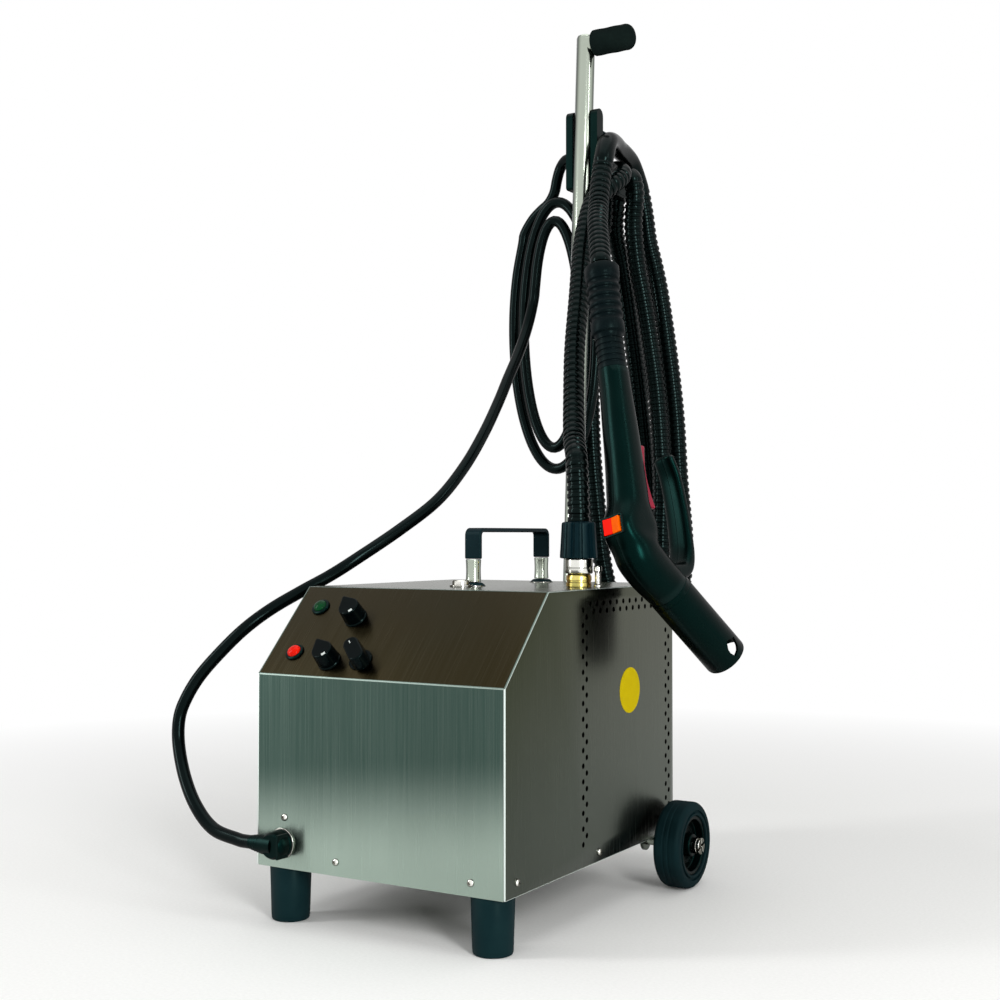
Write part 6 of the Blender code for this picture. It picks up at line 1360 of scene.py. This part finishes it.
def make_gun():
    gun = gun_frame()
    rocker = rocker_frame()
    barrel = barrel_frame()
    for label, hand in (("left", 1), ("right", -1)):
        body = carved(lofted(gun_sections()), lofted(guard_sections()), "UNION")
        bm = half_of(body, hand)
        slot = block((0, -0.0076, 0.049), (0.045, 0.0076, 0.123))
        bm = carved(bm, slot)
        pocket = moved(block((-0.0085, -0.0114, -0.0075), (0.0085, 0.0114, 0.0225)), rocker)
        bm = carved(bm, pocket)
        socket = lathe([(0, -0.0123), (0.0158, -0.0123), (0.0158, 0.002), (0, 0.002)], 48)
        bm = carved(bm, moved(socket, barrel))
        stands_for = [f"gun_shell_{label}"]
        piece(f"gun_half_{label}", bm, "glass_filled_nylon", gun, stands_for=stands_for, edge=0.0005)
    make_trigger(gun)
    make_rocker(gun @ rocker)
    make_barrel(gun @ barrel)


def make_trigger(gun):
    """Long finger lever, hinged at its top, with a hollow for the fingers."""
    top, low, face, proud = 0.120, 0.052, WAIST_RADIUS - 0.006, WAIST_RADIUS + 0.0135
    outline = [(face, top), (face, low)]
    for step in range(21):
        share = step / 20
        bow = 1 - 0.30 * math.sin(math.pi * (1 - share)) - 0.25 * share
        outline.append((face + (proud - face) * bow, low + (top - low) * share))
    side_view = columns((1, 0, 0), (0, 0, 1), (0, -1, 0))
    lever = moved(prism(outline, -0.007, 0.007), side_view)
    piece("trigger_lever", lever, "trigger_abs", gun, "trigger", ["gun_trigger"], edge=0.0022, steps=4)


def make_rocker(place):
    """Rocker switch: one orange key, dished along its middle, whose left half is drawn red as painted shade.
    """
    # The left half is painted shade: the orange key drawn red
    for label, hand, finish in (("red", -1, "rocker_red"), ("orange", 1, "rocker_orange")):
        outline = [(0, -0.006), (hand * 0.010, -0.006), (hand * 0.010, 0.003), (hand * 0.007, 0.0026)]
        outline += [(hand * 0.0035, 0.0019), (0, 0.0015)]
        half = moved(prism(outline if hand > 0 else list(reversed(outline)), -0.0082, 0.0082), SIDE_ON)
        piece(f"rocker_key_{label}", half, finish, place, "rocker", ["gun_switch"], edge=0.0006)
    low, high = -0.001, 0.0012
    sides = [
        block((x_low, y_low, low), (x_high, y_high, high)) for x_low, x_high, y_low, y_high in (
            (-0.0105, -0.0087, -0.0135, 0.0135), (0.0087, 0.0105, -0.0135, 0.0135),
            (-0.0105, 0.0105, -0.0135, -0.0118), (-0.0105, 0.0105, 0.0118, 0.0135),
        )
    ]
    piece("rocker_bezel", merged(*sides), "glass_filled_nylon", place, edge=0.0004)


def make_barrel(place):
    """Open barrel with a ringed root and a shield-shaped window near its end."""
    length = (GUN_NOZZLE_END - GUN_BEND).length - BARREL_START
    inner = BARREL_RADIUS - BARREL_WALL
    profile = [(0, -0.012), (0.0149, -0.012), (0.0155, -0.0114), (0.0155, GAP), (0.0224, GAP)]
    profile += [(0.023, 0.0009), (0.023, 0.0060), (0.0226, 0.0064), (0.0226, 0.0072), (0.023, 0.0076)]
    profile += [(0.023, length - 0.0020), (0.0226, length - 0.0006), (0.0218, length)]
    profile += [(inner + 0.0006, length), (inner, length - 0.0008), (inner, 0.006), (0, 0.006)]
    tip = 0.019 / 2
    shield = [(-tip, 0.0062), (-tip + 0.0008, 0.007), (0, 0.007), (0.0045, 0.0050)]
    shield += [(tip - 0.0014, 0.0012), (tip, 0)]
    shield += [(x, -y) for x, y in reversed(shield[:-1])]
    stand = columns((0, 0, 1), (0, 1, 0), (1, 0, 0))
    centre = at(0, 0, length - 0.005 - tip)
    aim = turned(-75, "Z") @ centre @ stand @ turned(30, "Z")
    window = moved(prism(shield, 0.010, BARREL_RADIUS + 0.002), aim)
    tube_mesh = carved(lathe(profile, 72), window)
    piece("nozzle_barrel", tube_mesh, "glass_filled_nylon", place, stands_for=["gun_barrel"], edge=0.0003)


def make_protector():
    """Rubber bend protector: a slim ringed neck, a cuff, five ribs and a wide lip."""
    profile = [(0, GAP), (0.0144, GAP), (0.0150, 0.0009)]
    for ring in range(5):
        low = 0.0050 + ring * 0.0066
        profile += [(0.0150, low), (0.0141, low + 0.0006), (0.0139, low + 0.0014)]
        profile += [(0.0141, low + 0.0022), (0.0150, low + 0.0028)]
    profile += [(0.0150, 0.0392), (0.0156, 0.0402), (0.0174, 0.0412), (0.0180, 0.0422), (0.0180, 0.0530)]
    pitch = 0.053 / 5
    groove = ((0.06, 0.2), (0.14, 0.8), (0.30, 1.0), (0.46, 1.0))
    groove += ((0.60, 0.8), (0.68, 0.2), (0.76, 0), (0.96, 0))
    for rib in range(5):
        low = 0.054 + rib * pitch
        for share, deep in groove:
            profile.append((0.0180 - 0.0022 * deep, low + pitch * share))
    profile += [(0.0181, 0.1075), (0.0187, 0.1090), (0.0188, 0.1120), (0.0188, 0.1196), (0.0182, 0.1207)]
    profile += [(0.0170, PROTECTOR_LENGTH), (0, PROTECTOR_LENGTH)]
    bm = lathe(profile, 64)
    for vertex in bm.verts:
        vertex.co.x += protector_shift(vertex.co.z)
    place = gun_frame() @ at(0, 0, GRIP_LENGTH)
    return piece("bend_protector_sleeve", bm, "sleeve_rubber", place, stands_for=["bend_protector"])


def dress_carried_nodes():
    """CAD nodes whose shape is right stay, with finishes and rounded edges of their own."""
    for node in ("top_panel", "rear_panel", "base_tray"):
        dress(node, "linished_side_sheet", 0.0004)
    for node in ("boiler_saddle_front", "boiler_saddle_rear"):
        dress(node, "zinc_plated_steel", 0.0003)
    for node in ("boiler_tank", "heater_flange", "wheel_axle"):
        dress(node, "polished_stainless")
    for node in ("solenoid_valve", "pressure_switch"):
        dress(node, "zinc_plated_steel")
    dress("steam_pipe", "turned_brass")
    for label in ("steam", "water", "mode"):
        dress(f"switch_body_{label}", "glass_filled_nylon")


make_camera()
make_finishes()
make_hose(make_protector())
make_lead([make_gland(), *make_plug()])
make_studio()
make_front_sheet()
make_side_sheets()
make_screws()
make_side_disc()
make_feet()
make_wheels()
make_post()
make_hooks()
make_carry_handle()
make_outlet()
make_nut()
make_top_fittings()
make_lamps()
make_knobs()
make_gun()
dress_carried_nodes()
